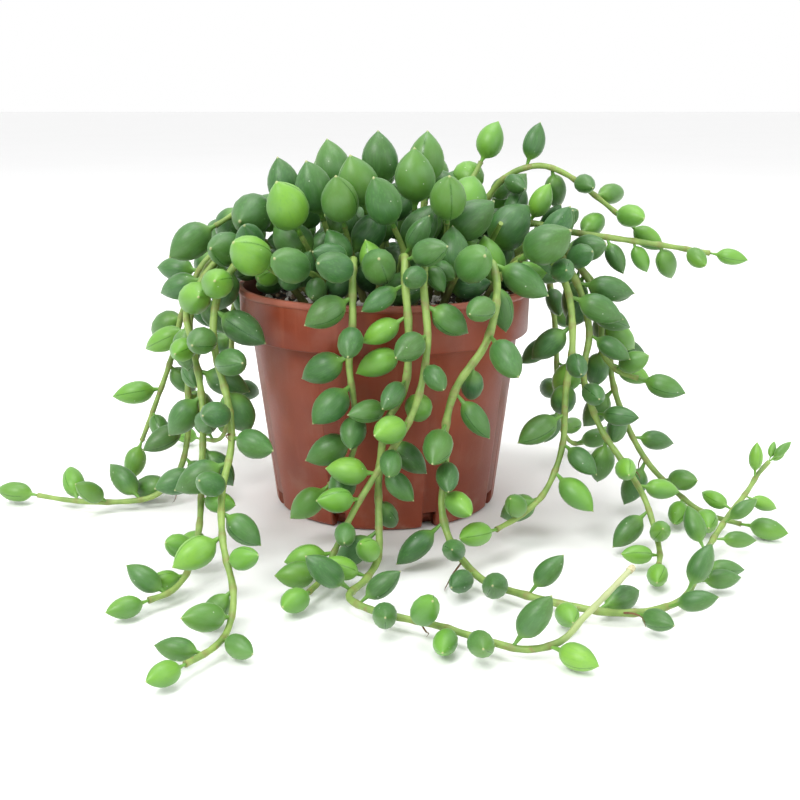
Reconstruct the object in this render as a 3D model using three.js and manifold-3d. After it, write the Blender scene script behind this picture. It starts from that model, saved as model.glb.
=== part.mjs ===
// Potted string of pearls, teardrop-leaved form: a 9 cm plastic nursery pot of peat with the
// trailing plant growing out of it. Millimetres, +Z up, the pot's axis on Z, its foot at z = 0.
import * as THREE from "three";
import { mergeVertices } from "three/addons/utils/BufferGeometryUtils.js";
import Module from "manifold-3d";

const wasm = await Module();
wasm.setup();

// Pot: a 9 cm round moulding.
const RIM_R = 45;
const LIP_TOP = 68.4;
const LIP_H = 2;
const BAND_R = 44.2;
const BAND_BOTTOM = 54.4;
const SHOULDER_R = 41.1;
const BASE_R = 34.7;
const WALL = 1.2;
const FOOT_H = 2;
const FLOOR_TOP = 4;
const PAD_R = 8;
const POT_SIDES = 32;
const DRAINS = 8;
const DRAIN_W = 5;
const DRAIN_D = 4.5;
const DRAIN_H = 5;

// Soil: peat filled to just under the lip.
const SOIL_TOP = 64;
const SOIL_GAP = 0.35;

// Stems and leaves.
const STEM_R = 1.1;
const STEM_SIDES = 5;
const STEM_STEP = 6;
const STALK_R = 0.8;
const LEAF_SIDES = 5;
const BARE_END = 34;
const LEAF_LEAN = 0.5;
const FIRST_LEAF = 6;
const GOLDEN = 2.4;
const TRIES = 12;
const SAMPLE = 2;
const CLEAR = 0.4;
const PLANTED = SOIL_TOP + 1;
const TIDY = 0.3;

// The balls a leaf is measured by when room is looked for: place along it and radius.
const LEAF_BALLS = [[0.2, 0.36], [0.45, 0.5], [0.7, 0.38], [0.92, 0.14]];

// Every stem: the points it runs through from the soil to its growing end, the leaf length at
// its start and its end, a leaf's width as a share of its length, the length of its stalk, the
// distance between leaves, and how the stem ends. A cut stem is bare for its last stretch.
const STEMS = [
  { name: "crown_left", leaf: [17, 15], width: 0.76, stalk: 2, gap: 7, end: "leaf", run: [
    [-16, 5, PLANTED], [-27, 4, 84], [-40, 1, 91], [-51, -4, 86]] },
  { name: "crown_rim_left", leaf: [15, 15], width: 0.76, stalk: 2, gap: 5, end: "leaf", run: [
    [-23, -20, PLANTED], [-28, -26, 73], [-32, -31, 77]] },
  { name: "crown_rim_front_left", leaf: [14, 14], width: 0.76, stalk: 2, gap: 5, end: "leaf", run: [
    [-14, -25, PLANTED], [-18, -32, 74], [-21, -38, 77]] },
  { name: "crown_rim_front", leaf: [14, 14], width: 0.76, stalk: 2, gap: 5, end: "leaf", run: [
    [-2, -27, PLANTED], [-1, -33, 73], [-1, -38, 76]] },
  { name: "crown_rim_front_right", leaf: [14, 14], width: 0.76, stalk: 2, gap: 5, end: "leaf", run: [
    [17, -24, PLANTED], [20, -31, 74], [22, -37, 77]] },
  { name: "crown_rim_right", leaf: [16, 16], width: 0.76, stalk: 2, gap: 5, end: "leaf", run: [
    [29, -19, PLANTED], [34, -24, 74], [39, -28, 79]] },
  { name: "crown_low_left", leaf: [16, 16], width: 0.76, stalk: 2, gap: 5, end: "leaf", run: [
    [-15, -12, PLANTED], [-20, -18, 77], [-24, -23, 86]] },
  { name: "crown_low_front_left", leaf: [16, 15], width: 0.76, stalk: 2, gap: 5, end: "leaf", run: [
    [-6, -15, PLANTED], [-9, -20, 78], [-11, -25, 88]] },
  { name: "crown_low_front", leaf: [16, 15], width: 0.76, stalk: 2, gap: 5, end: "leaf", run: [
    [9, -20, PLANTED], [6, -24, 80], [3, -28, 88]] },
  { name: "crown_low_front_right", leaf: [16, 15], width: 0.76, stalk: 2, gap: 5, end: "leaf", run: [
    [18, -9, PLANTED], [18, -17, 80], [18, -24, 89]] },
  { name: "crown_low_right", leaf: [16, 15], width: 0.76, stalk: 2, gap: 5, end: "leaf", run: [
    [27, -3, PLANTED], [31, -9, 80], [34, -16, 88]] },
  { name: "crown_front_left", leaf: [17, 16], width: 0.76, stalk: 2, gap: 5.5, end: "leaf", run: [
    [-11, -6, PLANTED], [-15, -9, 79], [-18, -12, 89]] },
  { name: "crown_front", leaf: [17, 16], width: 0.76, stalk: 2, gap: 5.5, end: "leaf", run: [
    [-1, -8, PLANTED], [-3, -12, 80], [-5, -15, 91]] },
  { name: "crown_front_centre", leaf: [17, 16], width: 0.76, stalk: 2, gap: 5.5, end: "leaf", run: [
    [7, -8, PLANTED], [8, -11, 81], [9, -14, 92]] },
  { name: "crown_front_right", leaf: [17, 16], width: 0.76, stalk: 2, gap: 5.5, end: "leaf", run: [
    [16, -3, PLANTED], [20, -7, 79], [23, -11, 90]] },
  { name: "crown_mid_far_left", leaf: [16, 15], width: 0.76, stalk: 2, gap: 5.5, end: "leaf", run: [
    [-19, 0, PLANTED], [-24, -1, 80], [-28, -4, 90]] },
  { name: "crown_mid_left", leaf: [17, 16], width: 0.76, stalk: 2, gap: 5.5, end: "leaf", run: [
    [-9, 1, PLANTED], [-12, 2, 83], [-14, 3, 94]] },
  { name: "crown_mid", leaf: [17, 16], width: 0.76, stalk: 2, gap: 5.5, end: "leaf", run: [
    [0, 1, PLANTED], [-1, 2, 83], [-1, 2, 96]] },
  { name: "crown_mid_right", leaf: [17, 16], width: 0.76, stalk: 2, gap: 5.5, end: "leaf", run: [
    [9, 2, PLANTED], [11, 2, 83], [12, 2, 96]] },
  { name: "crown_tall", leaf: [15, 12], width: 0.76, stalk: 2, gap: 7, end: "leaf", run: [
    [17, 6, PLANTED], [22, 10, 88], [30, 14, 104]] },
  { name: "crown_back_far_left", leaf: [16, 15], width: 0.76, stalk: 2, gap: 6, end: "leaf", run: [
    [-17, 12, PLANTED], [-24, 14, 80], [-30, 16, 89]] },
  { name: "crown_back_left", leaf: [16, 15], width: 0.76, stalk: 2, gap: 6, end: "leaf", run: [
    [-8, 10, PLANTED], [-12, 14, 81], [-15, 17, 91]] },
  { name: "crown_back", leaf: [16, 15], width: 0.76, stalk: 2, gap: 6, end: "leaf", run: [
    [1, 10, PLANTED], [0, 15, 83], [-1, 19, 93]] },
  { name: "crown_back_right", leaf: [16, 15], width: 0.76, stalk: 2, gap: 6, end: "leaf", run: [
    [10, 12, PLANTED], [11, 17, 81], [13, 22, 91]] },
  { name: "crown_rear_left", leaf: [15, 15], width: 0.76, stalk: 2, gap: 6, end: "leaf", run: [
    [-12, 21, PLANTED], [-17, 27, 79], [-21, 31, 87]] },
  { name: "crown_rear", leaf: [15, 15], width: 0.76, stalk: 2, gap: 6, end: "leaf", run: [
    [0, 24, PLANTED], [-1, 30, 79], [-2, 35, 87]] },
  { name: "crown_rear_right", leaf: [15, 15], width: 0.76, stalk: 2, gap: 6, end: "leaf", run: [
    [13, 24, PLANTED], [16, 30, 79], [19, 34, 87]] },
  { name: "crown_side_right", leaf: [15, 15], width: 0.76, stalk: 2, gap: 6, end: "leaf", run: [
    [24, 25, PLANTED], [29, 28, 79], [35, 30, 87]] },
  { name: "trail_left_outer", leaf: [16, 9], width: 0.66, stalk: 2.4, gap: 8, end: "leaf", run: [
    [-26, -6, PLANTED], [-34, -8, 75], [-44, -8, 79], [-51, -11, 75], [-57, -22, 64], [-55, -29, 56],
    [-52, -36, 46], [-50, -44, 37], [-49, -56, 24], [-48, -68, 14], [-49, -79, 7], [-52, -86, 4],
    [-57, -91, 3.5]] },
  { name: "trail_left_inner", leaf: [16, 9], width: 0.66, stalk: 2.4, gap: 8, end: "leaf", run: [
    [-20, -14, PLANTED], [-30, -16, 75], [-39, -19, 78], [-44, -24, 75], [-47, -31, 68], [-47, -39, 57],
    [-42, -50, 43], [-40, -60, 34], [-41, -72, 25], [-39, -86, 17], [-35, -98, 9], [-35, -107, 4],
    [-37, -116, 3.5], [-42, -124, 3.5]] },
  { name: "trail_far_left", leaf: [15, 12], width: 0.58, stalk: 2.8, gap: 10, end: "leaf", run: [
    [-26, 3, PLANTED], [-36, 2, 76], [-47, 0, 79], [-56, -2, 70], [-60, -4, 56], [-61, -6, 40],
    [-61, -9, 24], [-64, -12, 11], [-72, -16, 4], [-86, -18, 3], [-98, -16, 3], [-108, -13, 3.5]] },
  { name: "trail_back_left", leaf: [16, 11], width: 0.64, stalk: 2.4, gap: 8, end: "leaf", run: [
    [-22, 12, PLANTED], [-34, 13, 77], [-46, 12, 80], [-57, 10, 73], [-64, 9, 59], [-68, 7, 44],
    [-73, 4, 30], [-78, 1, 17]] },
  { name: "trail_front_left", leaf: [13, 12], width: 0.7, stalk: 2.4, gap: 8, end: "leaf", run: [
    [-10, -20, PLANTED], [-9, -29, 76], [-8, -38, 80], [-8, -46, 75], [-8, -50, 64], [-9, -50, 54],
    [-8, -49, 44], [-7, -48, 34], [-10, -48, 24], [-15, -49, 19]] },
  { name: "trail_front_arc", leaf: [12, 11], width: 0.6, stalk: 3.2, gap: 8.5, end: "cut", run: [
    [4, -16, PLANTED], [5, -27, 77], [6, -38, 81], [6, -47, 76], [7, -51, 62], [6, -53, 48], [1, -54, 38],
    [-1, -56, 24], [-1, -61, 13], [-1, -69, 6], [-4, -78, 3.5], [-8, -88, 3], [0, -97, 3], [12, -103, 3],
    [25, -112, 3], [33, -116, 3], [41, -114, 4], [47, -108, 7], [54, -99, 9], [62, -88, 11]] },
  { name: "trail_front_centre", leaf: [12, 10], width: 0.68, stalk: 2.4, gap: 8, end: "leaf", run: [
    [13, -14, PLANTED], [14, -26, 76], [12, -38, 80], [11, -47, 75], [12, -53, 61], [10, -57, 48],
    [6, -59, 38], [0, -61, 29], [-7, -64, 18], [-12, -70, 9], [-15, -79, 4.5], [-18, -86, 3.5]] },
  { name: "trail_front_right", leaf: [15, 8], width: 0.56, stalk: 3.6, gap: 9, end: "bud", run: [
    [22, -14, PLANTED], [27, -24, 76], [30, -34, 79], [31, -42, 74], [30, -47, 66], [27, -50, 58],
    [20, -52, 48], [17, -53, 37], [17, -55, 25], [16, -59, 16], [18, -65, 9], [22, -72, 5], [27, -79, 3],
    [35, -86, 3], [46, -93, 3], [57, -97, 3], [67, -95, 3], [76, -87, 3], [83, -71, 4], [91, -55, 5.5],
    [99, -42, 8], [107, -31, 11], [112, -24, 14], [116, -21, 17]] },
  { name: "trail_right_inner", leaf: [14, 12], width: 0.6, stalk: 3, gap: 8.5, end: "leaf", run: [
    [31, -7, PLANTED], [40, -12, 77], [48, -18, 78], [53, -25, 69], [54, -30, 55], [52, -34, 42],
    [51, -38, 27], [46, -44, 16], [39, -50, 11], [31, -57, 9]] },
  { name: "trail_right", leaf: [14, 10], width: 0.6, stalk: 3, gap: 8, end: "leaf", run: [
    [35, 0, PLANTED], [44, -4, 78], [51, -9, 79], [57, -16, 70], [60, -22, 57], [58, -27, 45],
    [62, -34, 32], [68, -40, 23], [73, -46, 15], [75, -53, 8], [75, -61, 4], [73, -69, 3.5]] },
  { name: "trail_right_short", leaf: [13, 12], width: 0.66, stalk: 2.4, gap: 8, end: "leaf", run: [
    [36, 8, PLANTED], [46, 3, 79], [55, -2, 78], [62, -7, 69], [65, -12, 58], [65, -16, 50],
    [69, -20, 45], [75, -22, 43]] },
  { name: "trail_right_outer", leaf: [13, 11], width: 0.6, stalk: 3, gap: 8, end: "leaf", run: [
    [33, 15, PLANTED], [46, 11, 79], [56, 6, 76], [65, 2, 67], [69, -2, 55], [70, -7, 40], [74, -12, 27],
    [80, -17, 16], [88, -22, 8], [95, -30, 4], [104, -37, 3]] },
  { name: "trail_air_upper", leaf: [12, 11], width: 0.62, stalk: 2.6, gap: 8, end: "leaf", run: [
    [22, 18, PLANTED], [28, 16, 84], [36, 12, 98], [46, 9, 103], [55, 8, 101], [65, 6, 94], [75, 4, 86]] },
  { name: "trail_air_lower", leaf: [13, 9], width: 0.62, stalk: 2.4, gap: 8, end: "leaf", run: [
    [27, 8, PLANTED], [34, 7, 81], [44, 3, 86], [55, 0, 84], [70, -2, 82], [85, -4, 80], [98, -6, 78]] },
  { name: "trail_rear_left", leaf: [14, 11], width: 0.68, stalk: 2.4, gap: 8.5, end: "leaf", run: [
    [-15, 29, PLANTED], [-21, 38, 76], [-28, 46, 74], [-31, 50, 62], [-32, 51, 48], [-33, 51, 36]] },
  { name: "trail_rear", leaf: [14, 11], width: 0.68, stalk: 2.4, gap: 8.5, end: "leaf", run: [
    [-5, 34, PLANTED], [-6, 44, 77], [-7, 51, 71], [-8, 54, 58], [-8, 54, 44], [-9, 55, 30]] },
  { name: "trail_rear_right", leaf: [14, 11], width: 0.68, stalk: 2.4, gap: 8.5, end: "leaf", run: [
    [10, 34, PLANTED], [13, 43, 77], [16, 50, 71], [18, 52, 58], [18, 53, 44]] },
  { name: "trail_side_rear_right", leaf: [14, 11], width: 0.68, stalk: 2.4, gap: 8.5, end: "leaf", run: [
    [19, 31, PLANTED], [27, 40, 77], [34, 45, 71], [37, 47, 60], [38, 47, 46], [39, 48, 32]] },
  { name: "trail_side_rear_left", leaf: [15, 11], width: 0.62, stalk: 2.6, gap: 9, end: "leaf", run: [
    [-28, 15, PLANTED], [-39, 24, 77], [-47, 31, 72], [-51, 34, 59], [-53, 35, 44], [-54, 37, 29],
    [-56, 40, 14], [-60, 44, 5], [-68, 49, 3.5]] },
  { name: "trail_side_right", leaf: [14, 11], width: 0.62, stalk: 2.6, gap: 9, end: "leaf", run: [
    [29, 21, PLANTED], [42, 25, 78], [52, 29, 72], [56, 31, 57], [58, 32, 42], [59, 34, 27],
    [61, 37, 13], [66, 41, 4.5], [74, 46, 3.5]] },
];

const POT_COLOUR = 0x9a4632;
const SOIL_COLOUR = 0x2e2019;
const LEAF_COLOUR = 0x3f7f3c;

// A closed manifold from a three.js geometry, its seams joined and its empty faces left out.
function solid(geometry) {
  geometry.deleteAttribute("normal");
  geometry.deleteAttribute("uv");
  const merged = mergeVertices(geometry, 1e-4);
  const corner = merged.index.array;
  const faces = [];
  for (let i = 0; i < corner.length; i += 3) {
    const [a, b, c] = [corner[i], corner[i + 1], corner[i + 2]];
    if (a !== b && b !== c && c !== a) {
      faces.push(a, b, c);
    }
  }
  const mesh = new wasm.Mesh({
    numProp: 3,
    vertProperties: new Float32Array(merged.attributes.position.array),
    triVerts: new Uint32Array(faces),
  });
  return new wasm.Manifold(mesh);
}

// A named mesh with its own material from a finished manifold.
function piece(name, body, colour, roughness) {
  const mesh = body.getMesh();
  const geometry = new THREE.BufferGeometry();
  geometry.setAttribute("position", new THREE.BufferAttribute(new Float32Array(mesh.vertProperties), 3));
  geometry.setIndex(new THREE.BufferAttribute(new Uint32Array(mesh.triVerts), 1));
  geometry.computeVertexNormals();
  const made = new THREE.Mesh(geometry, new THREE.MeshStandardMaterial({ color: colour, roughness }));
  made.name = name;
  return made;
}

// A turned solid about Z from [radius, height] pairs.
function turned(profile, sides) {
  const points = profile.map(([r, z]) => new THREE.Vector2(r, z));
  const geometry = new THREE.LatheGeometry(points, sides);
  geometry.rotateX(Math.PI / 2);
  return solid(geometry);
}

// The pot: thin wall, wide rim band with a rolled lip, a raised floor with a pad in its middle,
// and a foot ring notched through to the floor for the water to leave by.
function potBody() {
  const body = turned([
    [0, 0], [PAD_R, 0], [PAD_R + 0.6, FOOT_H], [BASE_R - 4, FOOT_H], [BASE_R - 3.2, 0],
    [BASE_R - 0.8, 0], [BASE_R, 0.9], [SHOULDER_R, BAND_BOTTOM], [BAND_R, BAND_BOTTOM],
    [BAND_R + 0.3, LIP_TOP - LIP_H], [RIM_R, LIP_TOP - LIP_H + 0.3], [RIM_R, LIP_TOP - 0.4],
    [RIM_R - 0.5, LIP_TOP], [BAND_R - WALL + 0.3, LIP_TOP], [BAND_R - WALL, BAND_BOTTOM + WALL],
    [SHOULDER_R - WALL, BAND_BOTTOM + WALL], [BASE_R - WALL, FLOOR_TOP + 0.6],
    [BASE_R - WALL - 0.8, FLOOR_TOP], [0, FLOOR_TOP],
  ], POT_SIDES);
  const slots = [];
  for (let i = 0; i < DRAINS; i += 1) {
    const box = new THREE.BoxGeometry(DRAIN_D, DRAIN_W, 2 * DRAIN_H);
    box.translate(BASE_R - DRAIN_D / 2 + 1, 0, 0);
    box.rotateZ((2 * Math.PI * (i + 0.5)) / DRAINS);
    slots.push(solid(box));
  }
  return body.subtract(wasm.Manifold.union(slots));
}

// The soil: a plug that follows the pot's inside with a hair of room all round.
function soilBody() {
  const low = BASE_R - WALL - SOIL_GAP;
  const mid = SHOULDER_R - WALL - SOIL_GAP;
  const top = BAND_R - WALL - SOIL_GAP;
  return turned([
    [0, FLOOR_TOP + SOIL_GAP], [low - 1.2, FLOOR_TOP + SOIL_GAP], [low, FLOOR_TOP + 2],
    [mid, BAND_BOTTOM + WALL + SOIL_GAP], [top, BAND_BOTTOM + WALL + SOIL_GAP],
    [top, SOIL_TOP - 1], [top - 1.5, SOIL_TOP], [0, SOIL_TOP],
  ], POT_SIDES);
}

// A smooth curve through a stem's points.
function curveOf(stem) {
  const points = stem.run.map(([x, y, z]) => new THREE.Vector3(x, y, z));
  return new THREE.CatmullRomCurve3(points, false, "catmullrom", 0.5);
}

// Points every SAMPLE millimetres along a stem, each with the distance run so far.
function walk(curve, spans) {
  const fine = [];
  for (let i = 0; i <= spans * 24; i += 1) {
    fine.push(curve.getPoint(i / (spans * 24)));
  }
  const stops = [{ at: 0, point: fine[0] }];
  let run = 0;
  let next = SAMPLE;
  for (let i = 1; i < fine.length; i += 1) {
    const step = fine[i].distanceTo(fine[i - 1]);
    while (run + step >= next) {
      stops.push({ at: next, point: fine[i - 1].clone().lerp(fine[i], (next - run) / step) });
      next += SAMPLE;
    }
    run += step;
  }
  return { stops, length: run, tip: fine[fine.length - 1] };
}

// The point and heading at a distance along a walked stem.
function poseAt(path, distance) {
  const i = Math.min(Math.floor(distance / SAMPLE), path.stops.length - 2);
  const here = path.stops[i].point;
  const there = path.stops[i + 1].point;
  const heading = there.clone().sub(here).normalize();
  const point = here.clone().lerp(there, distance / SAMPLE - i);
  return { point, heading };
}

// Whether a ball stands clear of the pot, the soil and the ground.
function clearOfPot(x, y, z, r) {
  const d = Math.hypot(x, y);
  if (z - r < 0.15) {
    return false;
  }
  if (z - r > LIP_TOP + CLEAR || d - r > RIM_R + CLEAR) {
    return true;
  }
  if (z - r < SOIL_TOP + CLEAR) {
    return false;
  }
  return d + r < BAND_R - WALL - CLEAR || (z > LIP_TOP && Math.hypot(d - 44, z - 67) - 2 > r);
}

// The balls that stand for one leaf.
function ballsOf(stem, root, way, length) {
  return LEAF_BALLS.map(([at, part]) => {
    const d = stem.stalk + at * length;
    return [root.x + way.x * d, root.y + way.y * d, root.z + way.z * d, part * length * stem.width];
  });
}

// Whether a leaf has room among the leaves already grown and every stem.
function hasRoom(balls, owner, distance, grown, paths) {
  for (const [x, y, z, r] of balls) {
    if (!clearOfPot(x, y, z, r)) {
      return false;
    }
    for (const [a, b, c, s] of grown) {
      if (Math.hypot(x - a, y - b, z - c) < r + s + CLEAR) {
        return false;
      }
    }
    for (const path of paths) {
      for (const stop of path.stops) {
        const own = path === owner && Math.abs(stop.at - distance) < 7;
        const { x: a, y: b, z: c } = stop.point;
        if (!own && Math.hypot(x - a, y - b, z - c) < r + STEM_R + CLEAR) {
          return false;
        }
      }
    }
  }
  return true;
}

// The direction of a leaf that leans off a heading, turned about it by an angle.
function leafWay(heading, angle) {
  const up = Math.abs(heading.z) < 0.9 ? new THREE.Vector3(0, 0, 1) : new THREE.Vector3(1, 0, 0);
  const side = heading.clone().cross(up).normalize();
  const over = side.clone().cross(heading);
  const out = Math.sqrt(1 - LEAF_LEAN * LEAF_LEAN);
  return heading.clone().multiplyScalar(LEAF_LEAN)
    .addScaledVector(side, out * Math.cos(angle))
    .addScaledVector(over, out * Math.sin(angle));
}

// Every leaf of the plant, stem by stem. The leaf at a stem's tip follows the stem, tipped up
// until it has room. Any other turns round its stem, then shrinks, and is left out at last.
function growLeaves(paths) {
  const grown = [];
  return STEMS.map((stem, s) => {
    const path = paths[s];
    const leaves = [];
    for (let t = 0; stem.end === "leaf" && t < TRIES; t += 1) {
      const way = poseAt(path, path.length - 1).heading;
      way.z += 0.12 * t;
      way.normalize();
      const length = stem.leaf[1];
      const balls = ballsOf(stem, path.tip, way, length);
      if (hasRoom(balls, path, path.length, grown, paths)) {
        grown.push(...balls);
        leaves.push({ stem, root: path.tip, way, length });
        break;
      }
    }
    const last = path.length - (stem.end === "cut" ? BARE_END : 4);
    for (let k = 0; FIRST_LEAF + k * stem.gap < last; k += 1) {
      const distance = FIRST_LEAF + k * stem.gap;
      const { point, heading } = poseAt(path, distance);
      const share = distance / path.length;
      const full = (stem.leaf[0] + (stem.leaf[1] - stem.leaf[0]) * share) * (1 + 0.12 * Math.sin(2.1 * k + s));
      for (let t = 0; t < 3 * TRIES; t += 1) {
        const length = full * (1 - 0.17 * Math.floor(t / TRIES));
        const way = leafWay(heading, GOLDEN * k + s + (t % TRIES) * 0.5236);
        const balls = ballsOf(stem, point, way, length);
        if (hasRoom(balls, path, distance, grown, paths)) {
          grown.push(...balls);
          leaves.push({ stem, root: point, way, length });
          break;
        }
      }
    }
    return leaves;
  });
}

// One fleshy teardrop leaf on its short stalk.
function leafBody({ stem, root, way, length }) {
  const half = (length * stem.width) / 2;
  const profile = [
    [0, -STEM_R / 2], [STALK_R, stem.stalk], [half, stem.stalk + 0.42 * length],
    [0.72 * half, stem.stalk + 0.74 * length], [0, stem.stalk + length],
  ];
  const geometry = new THREE.LatheGeometry(profile.map(([r, h]) => new THREE.Vector2(r, h)), LEAF_SIDES);
  geometry.applyQuaternion(new THREE.Quaternion().setFromUnitVectors(new THREE.Vector3(0, 1, 0), way));
  geometry.translate(root.x, root.y, root.z);
  return solid(geometry);
}

// A stem: a small round section drawn along its curve.
function stemBody(curve, length) {
  const section = new THREE.Shape();
  for (let i = 0; i < STEM_SIDES; i += 1) {
    const a = (2 * Math.PI * i) / STEM_SIDES;
    section[i ? "lineTo" : "moveTo"](STEM_R * Math.cos(a), STEM_R * Math.sin(a));
  }
  section.closePath();
  const steps = Math.max(4, Math.round(length / STEM_STEP));
  return solid(new THREE.ExtrudeGeometry(section, { steps, bevelEnabled: false, extrudePath: curve }));
}

const plant = new THREE.Group();
plant.name = "potted_string_of_pearls";
plant.add(piece("pot", potBody(), POT_COLOUR, 0.45));
plant.add(piece("soil", soilBody(), SOIL_COLOUR, 0.95));
const curves = STEMS.map(curveOf);
const paths = curves.map((curve, i) => walk(curve, STEMS[i].run.length - 1));
const foliage = growLeaves(paths);
STEMS.forEach((stem, i) => {
  const parts = [stemBody(curves[i], paths[i].length), ...foliage[i].map(leafBody)];
  plant.add(piece(stem.name, wasm.Manifold.union(parts).simplify(TIDY), LEAF_COLOUR, 0.5));
});

export default plant;
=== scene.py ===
import math
from collections import namedtuple

import bmesh
import bpy
import numpy as np
from mathutils import Euler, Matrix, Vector, noise


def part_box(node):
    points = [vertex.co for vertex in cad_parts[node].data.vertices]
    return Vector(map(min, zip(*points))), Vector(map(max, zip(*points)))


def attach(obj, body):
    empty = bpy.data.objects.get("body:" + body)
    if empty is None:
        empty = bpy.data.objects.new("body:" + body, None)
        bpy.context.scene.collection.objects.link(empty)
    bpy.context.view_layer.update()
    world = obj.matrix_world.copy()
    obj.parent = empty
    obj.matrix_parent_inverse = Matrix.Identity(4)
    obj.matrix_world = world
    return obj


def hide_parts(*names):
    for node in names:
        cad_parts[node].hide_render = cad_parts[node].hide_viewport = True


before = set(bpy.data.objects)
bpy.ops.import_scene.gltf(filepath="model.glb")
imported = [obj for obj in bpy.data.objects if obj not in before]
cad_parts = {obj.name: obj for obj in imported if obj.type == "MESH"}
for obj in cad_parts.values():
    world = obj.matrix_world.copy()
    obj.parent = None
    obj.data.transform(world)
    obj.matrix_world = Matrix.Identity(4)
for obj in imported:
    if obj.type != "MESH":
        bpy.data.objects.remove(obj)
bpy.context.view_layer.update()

# ---------------------------------------------------------------------------
# The growing pot: one thin injection-moulded shell of terracotta-coloured plastic, with a
# wide band under a rolled lip, a raised floor and a foot ring notched for the water.
# It is turned on Z and its notches are cut through; satin colour with scuffs, dust and a painted highlight on
# the lip.

POT_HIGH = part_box("pot")[1]
RIM_RADIUS = POT_HIGH[0]
LIP_TOP = POT_HIGH[2]
LIP_LOW = LIP_TOP - 0.002
BAND_RADIUS = 0.0442
BAND_LOW = 0.0544
SHOULDER_RADIUS = 0.0411
BASE_RADIUS = 0.0347
WALL = 0.0012
FLOOR_TOP = 0.004
PAD_RADIUS = 0.008
FOOT_HEIGHT = 0.002
POT_SIDES = 144
POT_ROUNDING = 0.0005
NOTCHES = 8
NOTCH_DEPTH = 0.0045
NOTCH_WIDTH = 0.005
NOTCH_HEIGHT = 0.01
GRAIN_DEPTH = 0.0003


def add(tree, kind, **values):
    """A node with its settings, and with inputs given by name or by place."""
    node = tree.nodes.new(kind)
    inputs = values.pop("inputs", {})
    for key, value in values.items():
        setattr(node, key, value)
    for key, value in inputs.items():
        socket = node.inputs[key]
        if isinstance(value, bpy.types.NodeSocket):
            tree.links.new(value, socket)
        else:
            socket.default_value = value
    return node


def ramp(tree, factor, low, high, smooth=True):
    """0 below low and 1 above high."""
    kind = "SMOOTHSTEP" if smooth else "LINEAR"
    node = add(tree, "ShaderNodeMapRange", interpolation_type=kind,
               inputs={"Value": factor, "From Min": low, "From Max": high})
    return node.outputs["Result"]


def maths(tree, operation, first, second=0.0):
    """One sum of two values."""
    node = add(tree, "ShaderNodeMath", operation=operation, inputs={0: first, 1: second})
    return node.outputs["Value"]


def blend_colours(tree, factor, first, second, kind="MIX"):
    """Two colours mixed by a factor."""
    node = add(tree, "ShaderNodeMix", data_type="RGBA", blend_type=kind,
               inputs={0: factor, 6: first, 7: second})
    return node.outputs[2]


def speckle_group():
    """Shared surface life: slow colour drift, fine grain and a bump normal."""
    group = bpy.data.node_groups.new("surface_life", "ShaderNodeTree")
    face = group.interface
    for name, kind, value in (
        ("Coordinates", "NodeSocketVector", None),
        ("Colour", "NodeSocketColor", (0.5, 0.5, 0.5, 1)),
        ("Dark Colour", "NodeSocketColor", (0.2, 0.2, 0.2, 1)),
        ("Drift Scale", "NodeSocketFloat", 60.0),
        ("Drift", "NodeSocketFloat", 0.5),
        ("Grain Scale", "NodeSocketFloat", 1200.0),
        ("Grain Height", "NodeSocketFloat", 0.1),
        ("Roughness", "NodeSocketFloat", 0.5),
    ):
        socket = face.new_socket(name, in_out="INPUT", socket_type=kind)
        if value is not None:
            socket.default_value = value
    for name, kind in (("Colour", "NodeSocketColor"), ("Roughness", "NodeSocketFloat"),
                       ("Normal", "NodeSocketVector")):
        face.new_socket(name, in_out="OUTPUT", socket_type=kind)
    source = add(group, "NodeGroupInput").outputs
    drift = add(group, "ShaderNodeTexNoise", inputs={
        "Vector": source["Coordinates"], "Scale": source["Drift Scale"], "Detail": 4.0}).outputs["Fac"]
    grain = add(group, "ShaderNodeTexNoise", inputs={
        "Vector": source["Coordinates"], "Scale": source["Grain Scale"], "Detail": 3.0}).outputs["Fac"]
    amount = maths(group, "MULTIPLY", ramp(group, drift, 0.35, 0.7), source["Drift"])
    colour = blend_colours(group, amount, source["Colour"], source["Dark Colour"])
    rough = maths(group, "ADD", source["Roughness"],
                  maths(group, "MULTIPLY", maths(group, "SUBTRACT", grain, 0.5), 0.25))
    bump = add(group, "ShaderNodeBump", inputs={
        "Height": grain, "Strength": source["Grain Height"], "Distance": GRAIN_DEPTH}).outputs["Normal"]
    finish = add(group, "NodeGroupOutput")
    group.links.new(colour, finish.inputs["Colour"])
    group.links.new(rough, finish.inputs["Roughness"])
    group.links.new(bump, finish.inputs["Normal"])
    return group


surface_life = speckle_group()


def living_surface(name, colour, dark, drift, grain, rough):
    """A material with the shared surface life at work in its colour, roughness and normal.

    drift and grain are (scale, amount) pairs. The place on the piece and the life come with it.
    """
    material = bpy.data.materials.new(name)
    material.use_nodes = True
    tree = material.node_tree
    shader = tree.nodes["Principled BSDF"]
    where = add(tree, "ShaderNodeTexCoord").outputs["Object"]
    life = add(tree, "ShaderNodeGroup", node_tree=surface_life, inputs={
        "Coordinates": where, "Colour": colour, "Dark Colour": dark, "Drift Scale": drift[0],
        "Drift": drift[1], "Grain Scale": grain[0], "Grain Height": grain[1], "Roughness": rough})
    for made, wanted in (("Colour", "Base Color"), ("Roughness", "Roughness"), ("Normal", "Normal")):
        tree.links.new(life.outputs[made], shader.inputs[wanted])
    return material, tree, shader, where, life


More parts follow.
